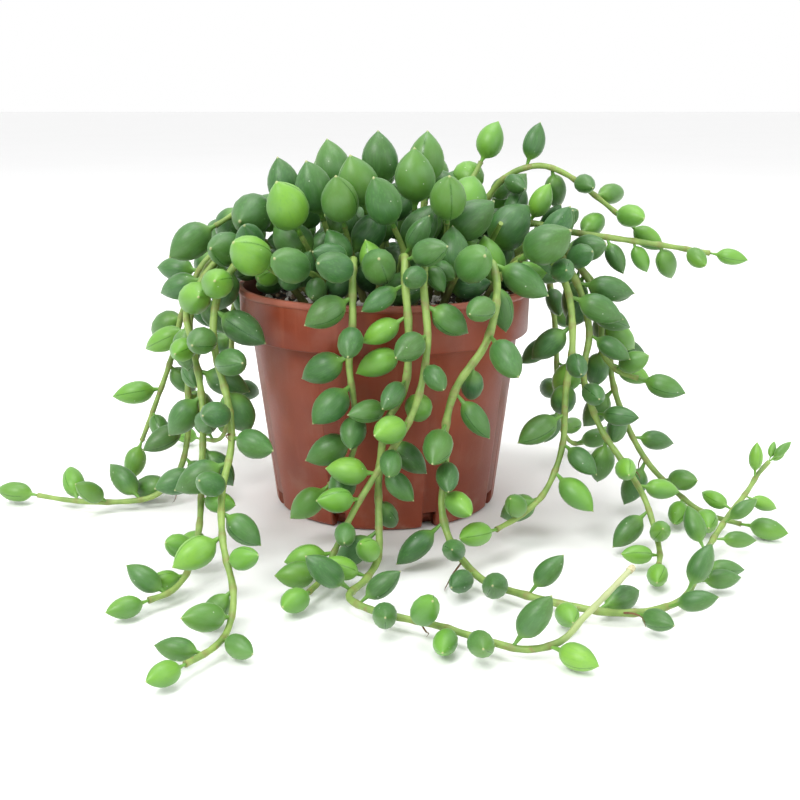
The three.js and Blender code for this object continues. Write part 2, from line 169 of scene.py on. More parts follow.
def pot_plastic():
    """Terracotta-coloured plastic: satin, with a painted highlight that makes the lip paler, dusty low down,
    lightly scuffed.
    """
    material, tree, shader, where, life = living_surface(
        "pot_plastic", (0.250, 0.046, 0.017, 1), (0.170, 0.029, 0.012, 1), (45.0, 0.7), (2600.0, 0.12), 0.40)
    height = add(tree, "ShaderNodeSeparateXYZ", inputs={0: where}).outputs["Z"]
    stretched = add(tree, "ShaderNodeMapping", inputs={"Vector": where, "Scale": (1, 1, 0.09)})
    streaks = add(tree, "ShaderNodeTexNoise", inputs={
        "Vector": stretched.outputs[0], "Scale": 420.0, "Detail": 5.0}).outputs["Fac"]
    streaked = blend_colours(tree, maths(tree, "MULTIPLY", ramp(tree, streaks, 0.55, 0.8), 0.28),
                             life.outputs["Colour"], (0.36, 0.10, 0.055, 1))
    # Painted highlight: the top of the lip is mixed towards a paler pink, as if lit from above.
    lip_highlight = ramp(tree, height, LIP_LOW - 0.0004, LIP_LOW + 0.0008)
    lip_highlighted = blend_colours(tree, maths(tree, "MULTIPLY", lip_highlight, 0.4), streaked, (0.45, 0.17, 0.12, 1))
    blots = add(tree, "ShaderNodeTexNoise", inputs={"Vector": where, "Scale": 130.0, "Detail": 6.0})
    low_down = maths(tree, "SUBTRACT", 1.0, ramp(tree, height, 0.0, 0.02))
    dust = maths(tree, "MULTIPLY", ramp(tree, blots.outputs["Fac"], 0.45, 0.75),
                 maths(tree, "ADD", maths(tree, "MULTIPLY", low_down, 0.35), 0.1))
    dusty = blend_colours(tree, dust, lip_highlighted, (0.38, 0.24, 0.18, 1))
    tree.links.new(dusty, shader.inputs["Base Color"])
    rough = maths(tree, "ADD", life.outputs["Roughness"], maths(tree, "MULTIPLY", dust, 0.5))
    tree.links.new(rough, shader.inputs["Roughness"])
    shader.inputs["Specular IOR Level"].default_value = 0.36
    return material


def make_object(name, mesh_maker, *materials):
    """A linked object from a filled bmesh, smooth-shaded, with its materials."""
    mesh = bpy.data.meshes.new(name)
    mesh_maker.normal_update()
    mesh_maker.to_mesh(mesh)
    mesh_maker.free()
    for material in materials:
        mesh.materials.append(material)
    for face in mesh.polygons:
        face.use_smooth = True
    made = bpy.data.objects.new(name, mesh)
    bpy.context.scene.collection.objects.link(made)
    return made


def turned(profile, sides):
    """A closed solid turned about Z from (radius, height) pairs that start and end on it."""
    maker = bmesh.new()
    rings = []
    for radius, height in profile:
        if radius == 0:
            rings.append([maker.verts.new((0, 0, height))])
        else:
            angles = [2 * math.pi * i / sides for i in range(sides)]
            rings.append([maker.verts.new((radius * math.cos(a), radius * math.sin(a), height))
                          for a in angles])
    for low, high in zip(rings, rings[1:]):
        for i in range(sides):
            j = (i + 1) % sides
            corners = [low[i % len(low)], low[j % len(low)], high[j % len(high)], high[i % len(high)]]
            maker.faces.new(list(dict.fromkeys(corners)))
    bmesh.ops.recalc_face_normals(maker, faces=maker.faces[:])
    return maker


def rounded(profile, size, steps=3):
    """The profile with each inner corner rounded off by size."""
    done = [profile[0]]
    for before, corner, after in zip(profile, profile[1:], profile[2:]):
        here = Vector(corner)
        ways = [Vector(before) - here, Vector(after) - here]
        reach = [min(size, way.length * 0.45) for way in ways]
        start, end = (here + way.normalized() * r for way, r in zip(ways, reach))
        for i in range(steps + 1):
            t = i / steps
            point = start.lerp(here, t).lerp(here.lerp(end, t), t)
            done.append((point.x, point.y))
    return done + [profile[-1]]


def baked(source, name):
    """The evaluated mesh of an object with modifiers, as a plain object in its place."""
    graph = bpy.context.evaluated_depsgraph_get()
    mesh = bpy.data.meshes.new_from_object(source.evaluated_get(graph))
    mesh.name = name
    source.modifiers.clear()
    bpy.data.objects.remove(source)
    made = bpy.data.objects.new(name, mesh)
    bpy.context.scene.collection.objects.link(made)
    return made


pot_profile = rounded([
    (0, 0), (PAD_RADIUS, 0), (PAD_RADIUS + 0.0006, FOOT_HEIGHT), (BASE_RADIUS - 0.004, FOOT_HEIGHT),
    (BASE_RADIUS - 0.0032, 0), (BASE_RADIUS - 0.0008, 0), (BASE_RADIUS, 0.0009),
    (SHOULDER_RADIUS, BAND_LOW), (BAND_RADIUS, BAND_LOW), (BAND_RADIUS + 0.0003, LIP_LOW),
    (RIM_RADIUS, LIP_LOW + 0.0003), (RIM_RADIUS, LIP_TOP), (BAND_RADIUS - WALL + 0.0003, LIP_TOP),
    (BAND_RADIUS - WALL, BAND_LOW + WALL), (SHOULDER_RADIUS - WALL, BAND_LOW + WALL),
    (BASE_RADIUS - WALL, FLOOR_TOP + 0.0006), (BASE_RADIUS - WALL - 0.0008, FLOOR_TOP), (0, FLOOR_TOP),
], POT_ROUNDING)
pot = make_object("nursery_pot", turned(pot_profile, POT_SIDES), pot_plastic())

notch_maker = bmesh.new()
for i in range(NOTCHES):
    turn = Euler((0, 0, 2 * math.pi * (i + 0.5) / NOTCHES)).to_matrix()
    notch = bmesh.ops.create_cube(notch_maker, size=1)["verts"]
    for vert in notch:
        x, y, z = vert.co.x * NOTCH_DEPTH, vert.co.y * NOTCH_WIDTH, vert.co.z * NOTCH_HEIGHT
        vert.co = turn @ Vector((x + BASE_RADIUS - 0.00125, y * (1 - 0.12 * (z > 0)), z))
notches = make_object("notch_cutter", notch_maker)
cut = pot.modifiers.new("notches", "BOOLEAN")
cut.operation = "DIFFERENCE"
cut.object = notches
cut.solver = "EXACT"
pot = baked(pot, "nursery_pot")
bpy.data.objects.remove(notches)
for face in pot.data.polygons:
    face.use_smooth = abs(face.normal.z) < 0.999
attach(pot, "root")
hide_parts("pot")

# ---------------------------------------------------------------------------
# The compost: damp dark peat filled to just under the lip, its top uneven and open.
# A closed plug follows the inside of the pot, with a crumbled top of its own.

SOIL_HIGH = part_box("soil")[1]
SOIL_RADIUS = SOIL_HIGH[0] - 0.0001
SOIL_TOP = SOIL_HIGH[2]
SOIL_GAP = 0.0004
SOIL_DROP = 0.0014
SOIL_RINGS = 44
SOIL_SIDES = 150


def peat():
    """Dark crumbly peat with paler fibres."""
    material, tree, shader, where, life = living_surface(
        "peat", (0.028, 0.016, 0.010, 1), (0.008, 0.005, 0.004, 1), (260.0, 0.9), (1500.0, 0.9), 0.88)
    fibres = add(tree, "ShaderNodeTexNoise", inputs={
        "Vector": add(tree, "ShaderNodeMapping", inputs={
            "Vector": where, "Scale": (1, 0.18, 1), "Rotation": (0, 0, 0.7)}).outputs[0],
        "Scale": 900.0, "Detail": 3.0}).outputs["Fac"]
    colour = blend_colours(tree, maths(tree, "MULTIPLY", ramp(tree, fibres, 0.62, 0.72), 0.7),
                           life.outputs["Colour"], (0.10, 0.055, 0.03, 1))
    tree.links.new(colour, shader.inputs["Base Color"])
    return material


def crumbled(x, y):
    """How high the peat stands above or below its level at a place."""
    coarse = noise.noise(Vector((x * 150, y * 150, 0.3)))
    fine = noise.noise(Vector((x * 520, y * 520, 4.1)))
    finest = noise.noise(Vector((x * 1300, y * 1300, 9.7)))
    return 0.0009 * coarse + 0.0006 * fine + 0.00035 * finest


low_radius = BASE_RADIUS - WALL - SOIL_GAP
mid_radius = SHOULDER_RADIUS - WALL - SOIL_GAP
ledge = BAND_LOW + WALL + SOIL_GAP
soil_profile = [(0, FLOOR_TOP + SOIL_GAP), (low_radius - 0.0012, FLOOR_TOP + SOIL_GAP),
                (low_radius, FLOOR_TOP + 0.002), (mid_radius, ledge), (SOIL_RADIUS, ledge),
                (SOIL_RADIUS, SOIL_TOP - 0.002)]
soil_profile += [(SOIL_RADIUS * (1 - k / SOIL_RINGS), SOIL_TOP - SOIL_DROP) for k in range(SOIL_RINGS)]
soil_profile.append((0, SOIL_TOP - SOIL_DROP))
soil_maker = turned(soil_profile, SOIL_SIDES)
for vert in soil_maker.verts:
    if vert.co.z > SOIL_TOP - SOIL_DROP - 0.0001:
        vert.co.z += crumbled(vert.co.x, vert.co.y)
soil = make_object("compost", soil_maker, peat())
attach(soil, "root")
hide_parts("soil")

# ---------------------------------------------------------------------------
# Perlite, grit and bark in the compost: pale puffed grains, tan stone and brown crumbs that
# lie on the peat and gather inside the rim. Grains are scattered over the top and set in.


def lump(name, seed, stretch):
    """A small irregular grain, about one unit across."""
    maker = bmesh.new()
    bmesh.ops.create_icosphere(maker, subdivisions=2, radius=0.5)
    for vert in maker.verts:
        bulge = noise.noise(vert.co * 2.3 + Vector((seed, seed * 0.7, 0)))
        vert.co *= 1 + 0.55 * bulge
        vert.co.z *= stretch
    return make_object(name, maker)


def named_sockets(tree, wanted):
    """Adds the named inputs a geometry tree takes and its geometry output."""
    for name, kind in wanted:
        tree.interface.new_socket(name, in_out="INPUT", socket_type=kind)
    tree.interface.new_socket("Geometry", in_out="OUTPUT", socket_type="NodeSocketGeometry")


def set_inputs(modifier, values):
    """Sets a geometry modifier's inputs by their names."""
    for item in modifier.node_group.interface.items_tree:
        if item.item_type == "SOCKET" and item.in_out == "INPUT" and item.name in values:
            modifier[item.identifier] = values[item.name]


def scatter_tree():
    """Grains scattered over a surface, turned and sized at random from a fixed seed."""
    tree = bpy.data.node_groups.new("scatter_grains", "GeometryNodeTree")
    named_sockets(tree, (
        ("Geometry", "NodeSocketGeometry"), ("Grain", "NodeSocketObject"),
        ("Grain Material", "NodeSocketMaterial"), ("Density", "NodeSocketFloat"),
        ("Smallest", "NodeSocketFloat"), ("Largest", "NodeSocketFloat"), ("Seed", "NodeSocketInt")))
    source = add(tree, "NodeGroupInput").outputs
    points = add(tree, "GeometryNodeDistributePointsOnFaces", inputs={
        "Mesh": source["Geometry"], "Density": source["Density"], "Seed": source["Seed"]})
    size = add(tree, "FunctionNodeRandomValue", inputs={
        2: source["Smallest"], 3: source["Largest"], "Seed": source["Seed"]})
    turn = add(tree, "FunctionNodeRandomValue", data_type="FLOAT_VECTOR", inputs={
        0: (-3.1, -3.1, -3.1), 1: (3.1, 3.1, 3.1), "Seed": source["Seed"]})
    grain = add(tree, "GeometryNodeObjectInfo", inputs={"Object": source["Grain"]})
    placed = add(tree, "GeometryNodeInstanceOnPoints", inputs={
        "Points": points.outputs["Points"], "Instance": grain.outputs["Geometry"],
        "Rotation": add(tree, "FunctionNodeEulerToRotation",
                        inputs={0: turn.outputs[0]}).outputs[0],
        "Scale": size.outputs[1]})
    real = add(tree, "GeometryNodeRealizeInstances", inputs={"Geometry": placed.outputs[0]})
    done = add(tree, "GeometryNodeSetMaterial", inputs={
        "Geometry": real.outputs[0], "Material": source["Grain Material"]})
    tree.links.new(done.outputs[0], add(tree, "NodeGroupOutput").inputs["Geometry"])
    return tree


scatter = scatter_tree()
BED_RADII = (0.004, SOIL_RADIUS - 0.0016)
BED_RINGS = 8
BED_SIDES = 96
GRAIN_DRIFT = (420.0, 0.8)
GRAIN_PITS = (3200.0, 0.5)


def bed():
    """A ring of the peat's top, a little above its level, to scatter grains on."""
    inner, outer = BED_RADII
    maker = bmesh.new()
    rings = []
    for k in range(BED_RINGS + 1):
        radius = inner + (outer - inner) * k / BED_RINGS
        ring = []
        for i in range(BED_SIDES):
            angle = 2 * math.pi * i / BED_SIDES
            x, y = radius * math.cos(angle), radius * math.sin(angle)
            ring.append(maker.verts.new((x, y, SOIL_TOP - 0.0012 + crumbled(x, y))))
        rings.append(ring)
    for low, high in zip(rings, rings[1:]):
        for i in range(BED_SIDES):
            j = (i + 1) % BED_SIDES
            maker.faces.new((low[i], high[i], high[j], low[j]))
    return make_object("bed", maker)


# Each kind has its two colours, how rough and how flat it is, grains to the square metre,
# the smallest and the largest grain, and a seed.
Grains = namedtuple("Grains", "name colour dark rough stretch density smallest largest seed")
for kind in (
    Grains("perlite", (0.78, 0.76, 0.70, 1), (0.50, 0.47, 0.42, 1), 0.85, 0.8, 52000.0, 0.0012, 0.0030, 3),
    Grains("grit", (0.36, 0.25, 0.15, 1), (0.16, 0.10, 0.06, 1), 0.7, 0.75, 30000.0, 0.0008, 0.0019, 8),
    Grains("bark_crumbs", (0.075, 0.036, 0.020, 1), (0.025, 0.013, 0.009, 1), 0.85, 0.45, 60000.0,
           0.0010, 0.0030, 15),
):
    grain = lump(kind.name + "_form", kind.seed, kind.stretch)
    ground = bed()
    spread = ground.modifiers.new("scatter", "NODES")
    spread.node_group = scatter
    skin = living_surface(kind.name, kind.colour, kind.dark, GRAIN_DRIFT, GRAIN_PITS, kind.rough)[0]
    set_inputs(spread, {
        "Grain": grain, "Grain Material": skin, "Density": kind.density,
        "Smallest": kind.smallest, "Largest": kind.largest, "Seed": kind.seed})
    grains = baked(ground, kind.name)
    bpy.data.objects.remove(grain)
    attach(grains, "root")

# ---------------------------------------------------------------------------
# The stems' courses: each rises from the peat, arches over the rim and trails down and out,
# or stands in the crown. Points are places along the middle of the stem from root to tip.

# Each has its leaf length at the root and at the tip, a leaf's width as a share of its length,
# its stalk, the distance between leaves, how it ends, and its share of fresh lime leaves.
Stem = namedtuple("Stem", "name leaf width stalk gap end fresh run")
PLANTED = SOIL_TOP + 0.001
STEMS = [
    Stem("crown_left", (0.017, 0.015), 0.76, 0.002, 0.007, "leaf", 0.12, [
        (-0.016, 0.005, PLANTED), (-0.027, 0.004, 0.084), (-0.04, 0.001, 0.091), (-0.051, -0.004, 0.086),
    ]),
    Stem("crown_rim_left", (0.015, 0.015), 0.76, 0.002, 0.005, "leaf", 0.12, [
        (-0.023, -0.02, PLANTED), (-0.028, -0.026, 0.073), (-0.032, -0.031, 0.077),
    ]),
    Stem("crown_rim_front_left", (0.014, 0.014), 0.76, 0.002, 0.005, "leaf", 0.12, [
        (-0.014, -0.025, PLANTED), (-0.018, -0.032, 0.074), (-0.021, -0.038, 0.077),
    ]),
    Stem("crown_rim_front", (0.014, 0.014), 0.76, 0.002, 0.005, "leaf", 0.12, [
        (-0.002, -0.027, PLANTED), (-0.001, -0.033, 0.073), (-0.001, -0.038, 0.076),
    ]),
    Stem("crown_rim_front_right", (0.014, 0.014), 0.76, 0.002, 0.005, "leaf", 0.12, [
        (0.017, -0.024, PLANTED), (0.02, -0.031, 0.074), (0.022, -0.037, 0.077),
    ]),
    Stem("crown_rim_right", (0.016, 0.016), 0.76, 0.002, 0.005, "leaf", 0.12, [
        (0.029, -0.019, PLANTED), (0.034, -0.024, 0.074), (0.039, -0.028, 0.079),
    ]),
    Stem("crown_low_left", (0.016, 0.016), 0.76, 0.002, 0.005, "leaf", 0.12, [
        (-0.015, -0.012, PLANTED), (-0.02, -0.018, 0.077), (-0.024, -0.023, 0.086),
    ]),
    Stem("crown_low_front_left", (0.016, 0.015), 0.76, 0.002, 0.005, "leaf", 0.12, [
        (-0.006, -0.015, PLANTED), (-0.009, -0.02, 0.078), (-0.011, -0.025, 0.088),
    ]),
    Stem("crown_low_front", (0.016, 0.015), 0.76, 0.002, 0.005, "leaf", 0.12, [
        (0.009, -0.02, PLANTED), (0.006, -0.024, 0.08), (0.003, -0.028, 0.088),
    ]),
    Stem("crown_low_front_right", (0.016, 0.015), 0.76, 0.002, 0.005, "leaf", 0.12, [
        (0.018, -0.009, PLANTED), (0.018, -0.017, 0.08), (0.018, -0.024, 0.089),
    ]),
    Stem("crown_low_right", (0.016, 0.015), 0.76, 0.002, 0.005, "leaf", 0.12, [
        (0.027, -0.003, PLANTED), (0.031, -0.009, 0.08), (0.034, -0.016, 0.088),
    ]),
    Stem("crown_front_left", (0.017, 0.016), 0.76, 0.002, 0.0055, "leaf", 0.12, [
        (-0.011, -0.006, PLANTED), (-0.015, -0.009, 0.079), (-0.018, -0.012, 0.089),
    ]),
    Stem("crown_front", (0.017, 0.016), 0.76, 0.002, 0.0055, "leaf", 0.12, [
        (-0.001, -0.008, PLANTED), (-0.003, -0.012, 0.08), (-0.005, -0.015, 0.091),
    ]),
    Stem("crown_front_centre", (0.017, 0.016), 0.76, 0.002, 0.0055, "leaf", 0.12, [
        (0.007, -0.008, PLANTED), (0.008, -0.011, 0.081), (0.009, -0.014, 0.092),
    ]),
    Stem("crown_front_right", (0.017, 0.016), 0.76, 0.002, 0.0055, "leaf", 0.12, [
        (0.016, -0.003, PLANTED), (0.02, -0.007, 0.079), (0.023, -0.011, 0.09),
    ]),
    Stem("crown_mid_far_left", (0.016, 0.015), 0.76, 0.002, 0.0055, "leaf", 0.12, [
        (-0.019, 0.0, PLANTED), (-0.024, -0.001, 0.08), (-0.028, -0.004, 0.09),
    ]),
    Stem("crown_mid_left", (0.017, 0.016), 0.76, 0.002, 0.0055, "leaf", 0.12, [
        (-0.009, 0.001, PLANTED), (-0.012, 0.002, 0.083), (-0.014, 0.003, 0.094),
    ]),
    Stem("crown_mid", (0.017, 0.016), 0.76, 0.002, 0.0055, "leaf", 0.12, [
        (0.0, 0.001, PLANTED), (-0.001, 0.002, 0.083), (-0.001, 0.002, 0.096),
    ]),
    Stem("crown_mid_right", (0.017, 0.016), 0.76, 0.002, 0.0055, "leaf", 0.12, [
        (0.009, 0.002, PLANTED), (0.011, 0.002, 0.083), (0.012, 0.002, 0.096),
    ]),
    Stem("crown_tall", (0.015, 0.012), 0.76, 0.002, 0.007, "leaf", 0.12, [
        (0.017, 0.006, PLANTED), (0.022, 0.01, 0.088), (0.03, 0.014, 0.104),
    ]),
    Stem("crown_back_far_left", (0.016, 0.015), 0.76, 0.002, 0.006, "leaf", 0.12, [
        (-0.017, 0.012, PLANTED), (-0.024, 0.014, 0.08), (-0.03, 0.016, 0.089),
    ]),
    Stem("crown_back_left", (0.016, 0.015), 0.76, 0.002, 0.006, "leaf", 0.12, [
        (-0.008, 0.01, PLANTED), (-0.012, 0.014, 0.081), (-0.015, 0.017, 0.091),
    ]),
    Stem("crown_back", (0.016, 0.015), 0.76, 0.002, 0.006, "leaf", 0.12, [
        (0.001, 0.01, PLANTED), (0.0, 0.015, 0.083), (-0.001, 0.019, 0.093),
    ]),
    Stem("crown_back_right", (0.016, 0.015), 0.76, 0.002, 0.006, "leaf", 0.12, [
        (0.01, 0.012, PLANTED), (0.011, 0.017, 0.081), (0.013, 0.022, 0.091),
    ]),
    Stem("crown_rear_left", (0.015, 0.015), 0.76, 0.002, 0.006, "leaf", 0.12, [
        (-0.012, 0.021, PLANTED), (-0.017, 0.027, 0.079), (-0.021, 0.031, 0.087),
    ]),
    Stem("crown_rear", (0.015, 0.015), 0.76, 0.002, 0.006, "leaf", 0.12, [
        (0.0, 0.024, PLANTED), (-0.001, 0.03, 0.079), (-0.002, 0.035, 0.087),
    ]),
    Stem("crown_rear_right", (0.015, 0.015), 0.76, 0.002, 0.006, "leaf", 0.12, [
        (0.013, 0.024, PLANTED), (0.016, 0.03, 0.079), (0.019, 0.034, 0.087),
    ]),
    Stem("crown_side_right", (0.015, 0.015), 0.76, 0.002, 0.006, "leaf", 0.12, [
        (0.024, 0.025, PLANTED), (0.029, 0.028, 0.079), (0.035, 0.03, 0.087),
    ]),
    Stem("trail_left_outer", (0.016, 0.009), 0.66, 0.0024, 0.008, "leaf", 0.3, [
        (-0.026, -0.006, PLANTED), (-0.034, -0.008, 0.075), (-0.044, -0.008, 0.079),
        (-0.051, -0.011, 0.075), (-0.057, -0.022, 0.064), (-0.055, -0.029, 0.056),
        (-0.052, -0.036, 0.046), (-0.05, -0.044, 0.037), (-0.049, -0.056, 0.024),
        (-0.048, -0.068, 0.014), (-0.049, -0.079, 0.007), (-0.052, -0.086, 0.004),
        (-0.057, -0.091, 0.0035),
    ]),
    Stem("trail_left_inner", (0.016, 0.009), 0.66, 0.0024, 0.008, "leaf", 0.35, [
        (-0.02, -0.014, PLANTED), (-0.03, -0.016, 0.075), (-0.039, -0.019, 0.078),
        (-0.044, -0.024, 0.075), (-0.047, -0.031, 0.068), (-0.047, -0.039, 0.057),
        (-0.042, -0.05, 0.043), (-0.04, -0.06, 0.034), (-0.041, -0.072, 0.025), (-0.039, -0.086, 0.017),
        (-0.035, -0.098, 0.009), (-0.035, -0.107, 0.004), (-0.037, -0.116, 0.0035),
        (-0.042, -0.124, 0.0035),
    ]),
    Stem("trail_far_left", (0.015, 0.012), 0.58, 0.0028, 0.01, "leaf", 0.2, [
        (-0.026, 0.003, PLANTED), (-0.036, 0.002, 0.076), (-0.047, 0.0, 0.079), (-0.056, -0.002, 0.07),
        (-0.06, -0.004, 0.056), (-0.061, -0.006, 0.04), (-0.061, -0.009, 0.024), (-0.064, -0.012, 0.011),
        (-0.072, -0.016, 0.004), (-0.086, -0.018, 0.003), (-0.098, -0.016, 0.003),
        (-0.108, -0.013, 0.0035),
    ]),
    Stem("trail_back_left", (0.016, 0.011), 0.64, 0.0024, 0.008, "leaf", 0.12, [
        (-0.022, 0.012, PLANTED), (-0.034, 0.013, 0.077), (-0.046, 0.012, 0.08), (-0.057, 0.01, 0.073),
        (-0.064, 0.009, 0.059), (-0.068, 0.007, 0.044), (-0.073, 0.004, 0.03), (-0.078, 0.001, 0.017),
    ]),
    Stem("trail_front_left", (0.013, 0.012), 0.7, 0.0024, 0.008, "leaf", 0.35, [
        (-0.01, -0.02, PLANTED), (-0.009, -0.029, 0.076), (-0.008, -0.038, 0.08),
        (-0.008, -0.046, 0.075), (-0.008, -0.05, 0.064), (-0.009, -0.05, 0.054), (-0.008, -0.049, 0.044),
        (-0.007, -0.048, 0.034), (-0.01, -0.048, 0.024), (-0.015, -0.049, 0.019),
    ]),
    Stem("trail_front_arc", (0.012, 0.011), 0.6, 0.0032, 0.0085, "cut", 0.55, [
        (0.004, -0.016, PLANTED), (0.005, -0.027, 0.077), (0.006, -0.038, 0.081), (0.006, -0.047, 0.076),
        (0.007, -0.051, 0.062), (0.006, -0.053, 0.048), (0.001, -0.054, 0.038), (-0.001, -0.056, 0.024),
        (-0.001, -0.061, 0.013), (-0.001, -0.069, 0.006), (-0.004, -0.078, 0.0035),
        (-0.008, -0.088, 0.003), (0.0, -0.097, 0.003), (0.012, -0.103, 0.003), (0.025, -0.112, 0.003),
        (0.033, -0.116, 0.003), (0.041, -0.114, 0.004), (0.047, -0.108, 0.007), (0.054, -0.099, 0.009),
        (0.062, -0.088, 0.011),
    ]),
    Stem("trail_front_centre", (0.012, 0.01), 0.68, 0.0024, 0.008, "leaf", 0.5, [
        (0.013, -0.014, PLANTED), (0.014, -0.026, 0.076), (0.012, -0.038, 0.08), (0.011, -0.047, 0.075),
        (0.012, -0.053, 0.061), (0.01, -0.057, 0.048), (0.006, -0.059, 0.038), (0.0, -0.061, 0.029),
        (-0.007, -0.064, 0.018), (-0.012, -0.07, 0.009), (-0.015, -0.079, 0.0045),
        (-0.018, -0.086, 0.0035),
    ]),
    Stem("trail_front_right", (0.015, 0.008), 0.56, 0.0036, 0.009, "bud", 0.3, [
        (0.022, -0.014, PLANTED), (0.027, -0.024, 0.076), (0.03, -0.034, 0.079), (0.031, -0.042, 0.074),
        (0.03, -0.047, 0.066), (0.027, -0.05, 0.058), (0.02, -0.052, 0.048), (0.017, -0.053, 0.037),
        (0.017, -0.055, 0.025), (0.016, -0.059, 0.016), (0.018, -0.065, 0.009), (0.022, -0.072, 0.005),
        (0.027, -0.079, 0.003), (0.035, -0.086, 0.003), (0.046, -0.093, 0.003), (0.057, -0.097, 0.003),
        (0.067, -0.095, 0.003), (0.076, -0.087, 0.003), (0.083, -0.071, 0.004), (0.091, -0.055, 0.0055),
        (0.099, -0.042, 0.008), (0.107, -0.031, 0.011), (0.112, -0.024, 0.014), (0.116, -0.021, 0.017),
    ]),
    Stem("trail_right_inner", (0.014, 0.012), 0.6, 0.003, 0.0085, "leaf", 0.12, [
        (0.031, -0.007, PLANTED), (0.04, -0.012, 0.077), (0.048, -0.018, 0.078), (0.053, -0.025, 0.069),
        (0.054, -0.03, 0.055), (0.052, -0.034, 0.042), (0.051, -0.038, 0.027), (0.046, -0.044, 0.016),
        (0.039, -0.05, 0.011), (0.031, -0.057, 0.009),
    ]),
    Stem("trail_right", (0.014, 0.01), 0.6, 0.003, 0.008, "leaf", 0.35, [
        (0.035, 0.0, PLANTED), (0.044, -0.004, 0.078), (0.051, -0.009, 0.079), (0.057, -0.016, 0.07),
        (0.06, -0.022, 0.057), (0.058, -0.027, 0.045), (0.062, -0.034, 0.032), (0.068, -0.04, 0.023),
        (0.073, -0.046, 0.015), (0.075, -0.053, 0.008), (0.075, -0.061, 0.004), (0.073, -0.069, 0.0035),
    ]),
    Stem("trail_right_short", (0.013, 0.012), 0.66, 0.0024, 0.008, "leaf", 0.12, [
        (0.036, 0.008, PLANTED), (0.046, 0.003, 0.079), (0.055, -0.002, 0.078), (0.062, -0.007, 0.069),
        (0.065, -0.012, 0.058), (0.065, -0.016, 0.05), (0.069, -0.02, 0.045), (0.075, -0.022, 0.043),
    ]),
    Stem("trail_right_outer", (0.013, 0.011), 0.6, 0.003, 0.008, "leaf", 0.35, [
        (0.033, 0.015, PLANTED), (0.046, 0.011, 0.079), (0.056, 0.006, 0.076), (0.065, 0.002, 0.067),
        (0.069, -0.002, 0.055), (0.07, -0.007, 0.04), (0.074, -0.012, 0.027), (0.08, -0.017, 0.016),
        (0.088, -0.022, 0.008), (0.095, -0.03, 0.004), (0.104, -0.037, 0.003),
    ]),
    Stem("trail_air_upper", (0.012, 0.011), 0.62, 0.0026, 0.008, "leaf", 0.4, [
        (0.022, 0.018, PLANTED), (0.028, 0.016, 0.084), (0.036, 0.012, 0.098), (0.046, 0.009, 0.103),
        (0.055, 0.008, 0.101), (0.065, 0.006, 0.094), (0.075, 0.004, 0.086),
    ]),
    Stem("trail_air_lower", (0.013, 0.009), 0.62, 0.0024, 0.008, "leaf", 0.45, [
        (0.027, 0.008, PLANTED), (0.034, 0.007, 0.081), (0.044, 0.003, 0.086), (0.055, 0.0, 0.084),
        (0.07, -0.002, 0.082), (0.085, -0.004, 0.08), (0.098, -0.006, 0.078),
    ]),
    Stem("trail_rear_left", (0.014, 0.011), 0.68, 0.0024, 0.0085, "leaf", 0.12, [
        (-0.015, 0.029, PLANTED), (-0.021, 0.038, 0.076), (-0.028, 0.046, 0.074), (-0.031, 0.05, 0.062),
        (-0.032, 0.051, 0.048), (-0.033, 0.051, 0.036),
    ]),
    Stem("trail_rear", (0.014, 0.011), 0.68, 0.0024, 0.0085, "leaf", 0.12, [
        (-0.005, 0.034, PLANTED), (-0.006, 0.044, 0.077), (-0.007, 0.051, 0.071), (-0.008, 0.054, 0.058),
        (-0.008, 0.054, 0.044), (-0.009, 0.055, 0.03),
    ]),
    Stem("trail_rear_right", (0.014, 0.011), 0.68, 0.0024, 0.0085, "leaf", 0.12, [
        (0.01, 0.034, PLANTED), (0.013, 0.043, 0.077), (0.016, 0.05, 0.071), (0.018, 0.052, 0.058),
        (0.018, 0.053, 0.044),
    ]),
    Stem("trail_side_rear_right", (0.014, 0.011), 0.68, 0.0024, 0.0085, "leaf", 0.12, [
        (0.019, 0.031, PLANTED), (0.027, 0.04, 0.077), (0.034, 0.045, 0.071), (0.037, 0.047, 0.06),
        (0.038, 0.047, 0.046), (0.039, 0.048, 0.032),
    ]),
    Stem("trail_side_rear_left", (0.015, 0.011), 0.62, 0.0026, 0.009, "leaf", 0.12, [
        (-0.028, 0.015, PLANTED), (-0.039, 0.024, 0.077), (-0.047, 0.031, 0.072), (-0.051, 0.034, 0.059),
        (-0.053, 0.035, 0.044), (-0.054, 0.037, 0.029), (-0.056, 0.04, 0.014), (-0.06, 0.044, 0.005),
        (-0.068, 0.049, 0.0035),
    ]),
    Stem("trail_side_right", (0.014, 0.011), 0.62, 0.0026, 0.009, "leaf", 0.12, [
        (0.029, 0.021, PLANTED), (0.042, 0.025, 0.078), (0.052, 0.029, 0.072), (0.056, 0.031, 0.057),
        (0.058, 0.032, 0.042), (0.059, 0.034, 0.027), (0.061, 0.037, 0.013), (0.066, 0.041, 0.0045),
        (0.074, 0.046, 0.0035),
    ]),
]
STEM_RADIUS = 0.0011
BARE_END = 0.034
LEAF_LEAN = 0.5
FIRST_LEAF = 0.006
LAST_LEAF = 0.004
GOLDEN = 2.4
TRIES = 12
TURN_STEP = 0.5236
TIP_LIFT = 0.12
SHRINK = 0.17
SIZE_SWING = 0.12
SWING_TURN = 2.1
SAMPLE = 0.002
CLEAR = 0.0004
GROUND_CLEAR = 0.00015
OWN_STEM = 0.007
LIP_MIDDLE = (0.044, 0.067)
LIP_THICK = 0.002
FINE_STEPS = 24
# (share of the length beyond the stalk, radius as a share of the leaf's width)
LEAF_BALLS = ((0.2, 0.36), (0.45, 0.5), (0.7, 0.38), (0.92, 0.14))


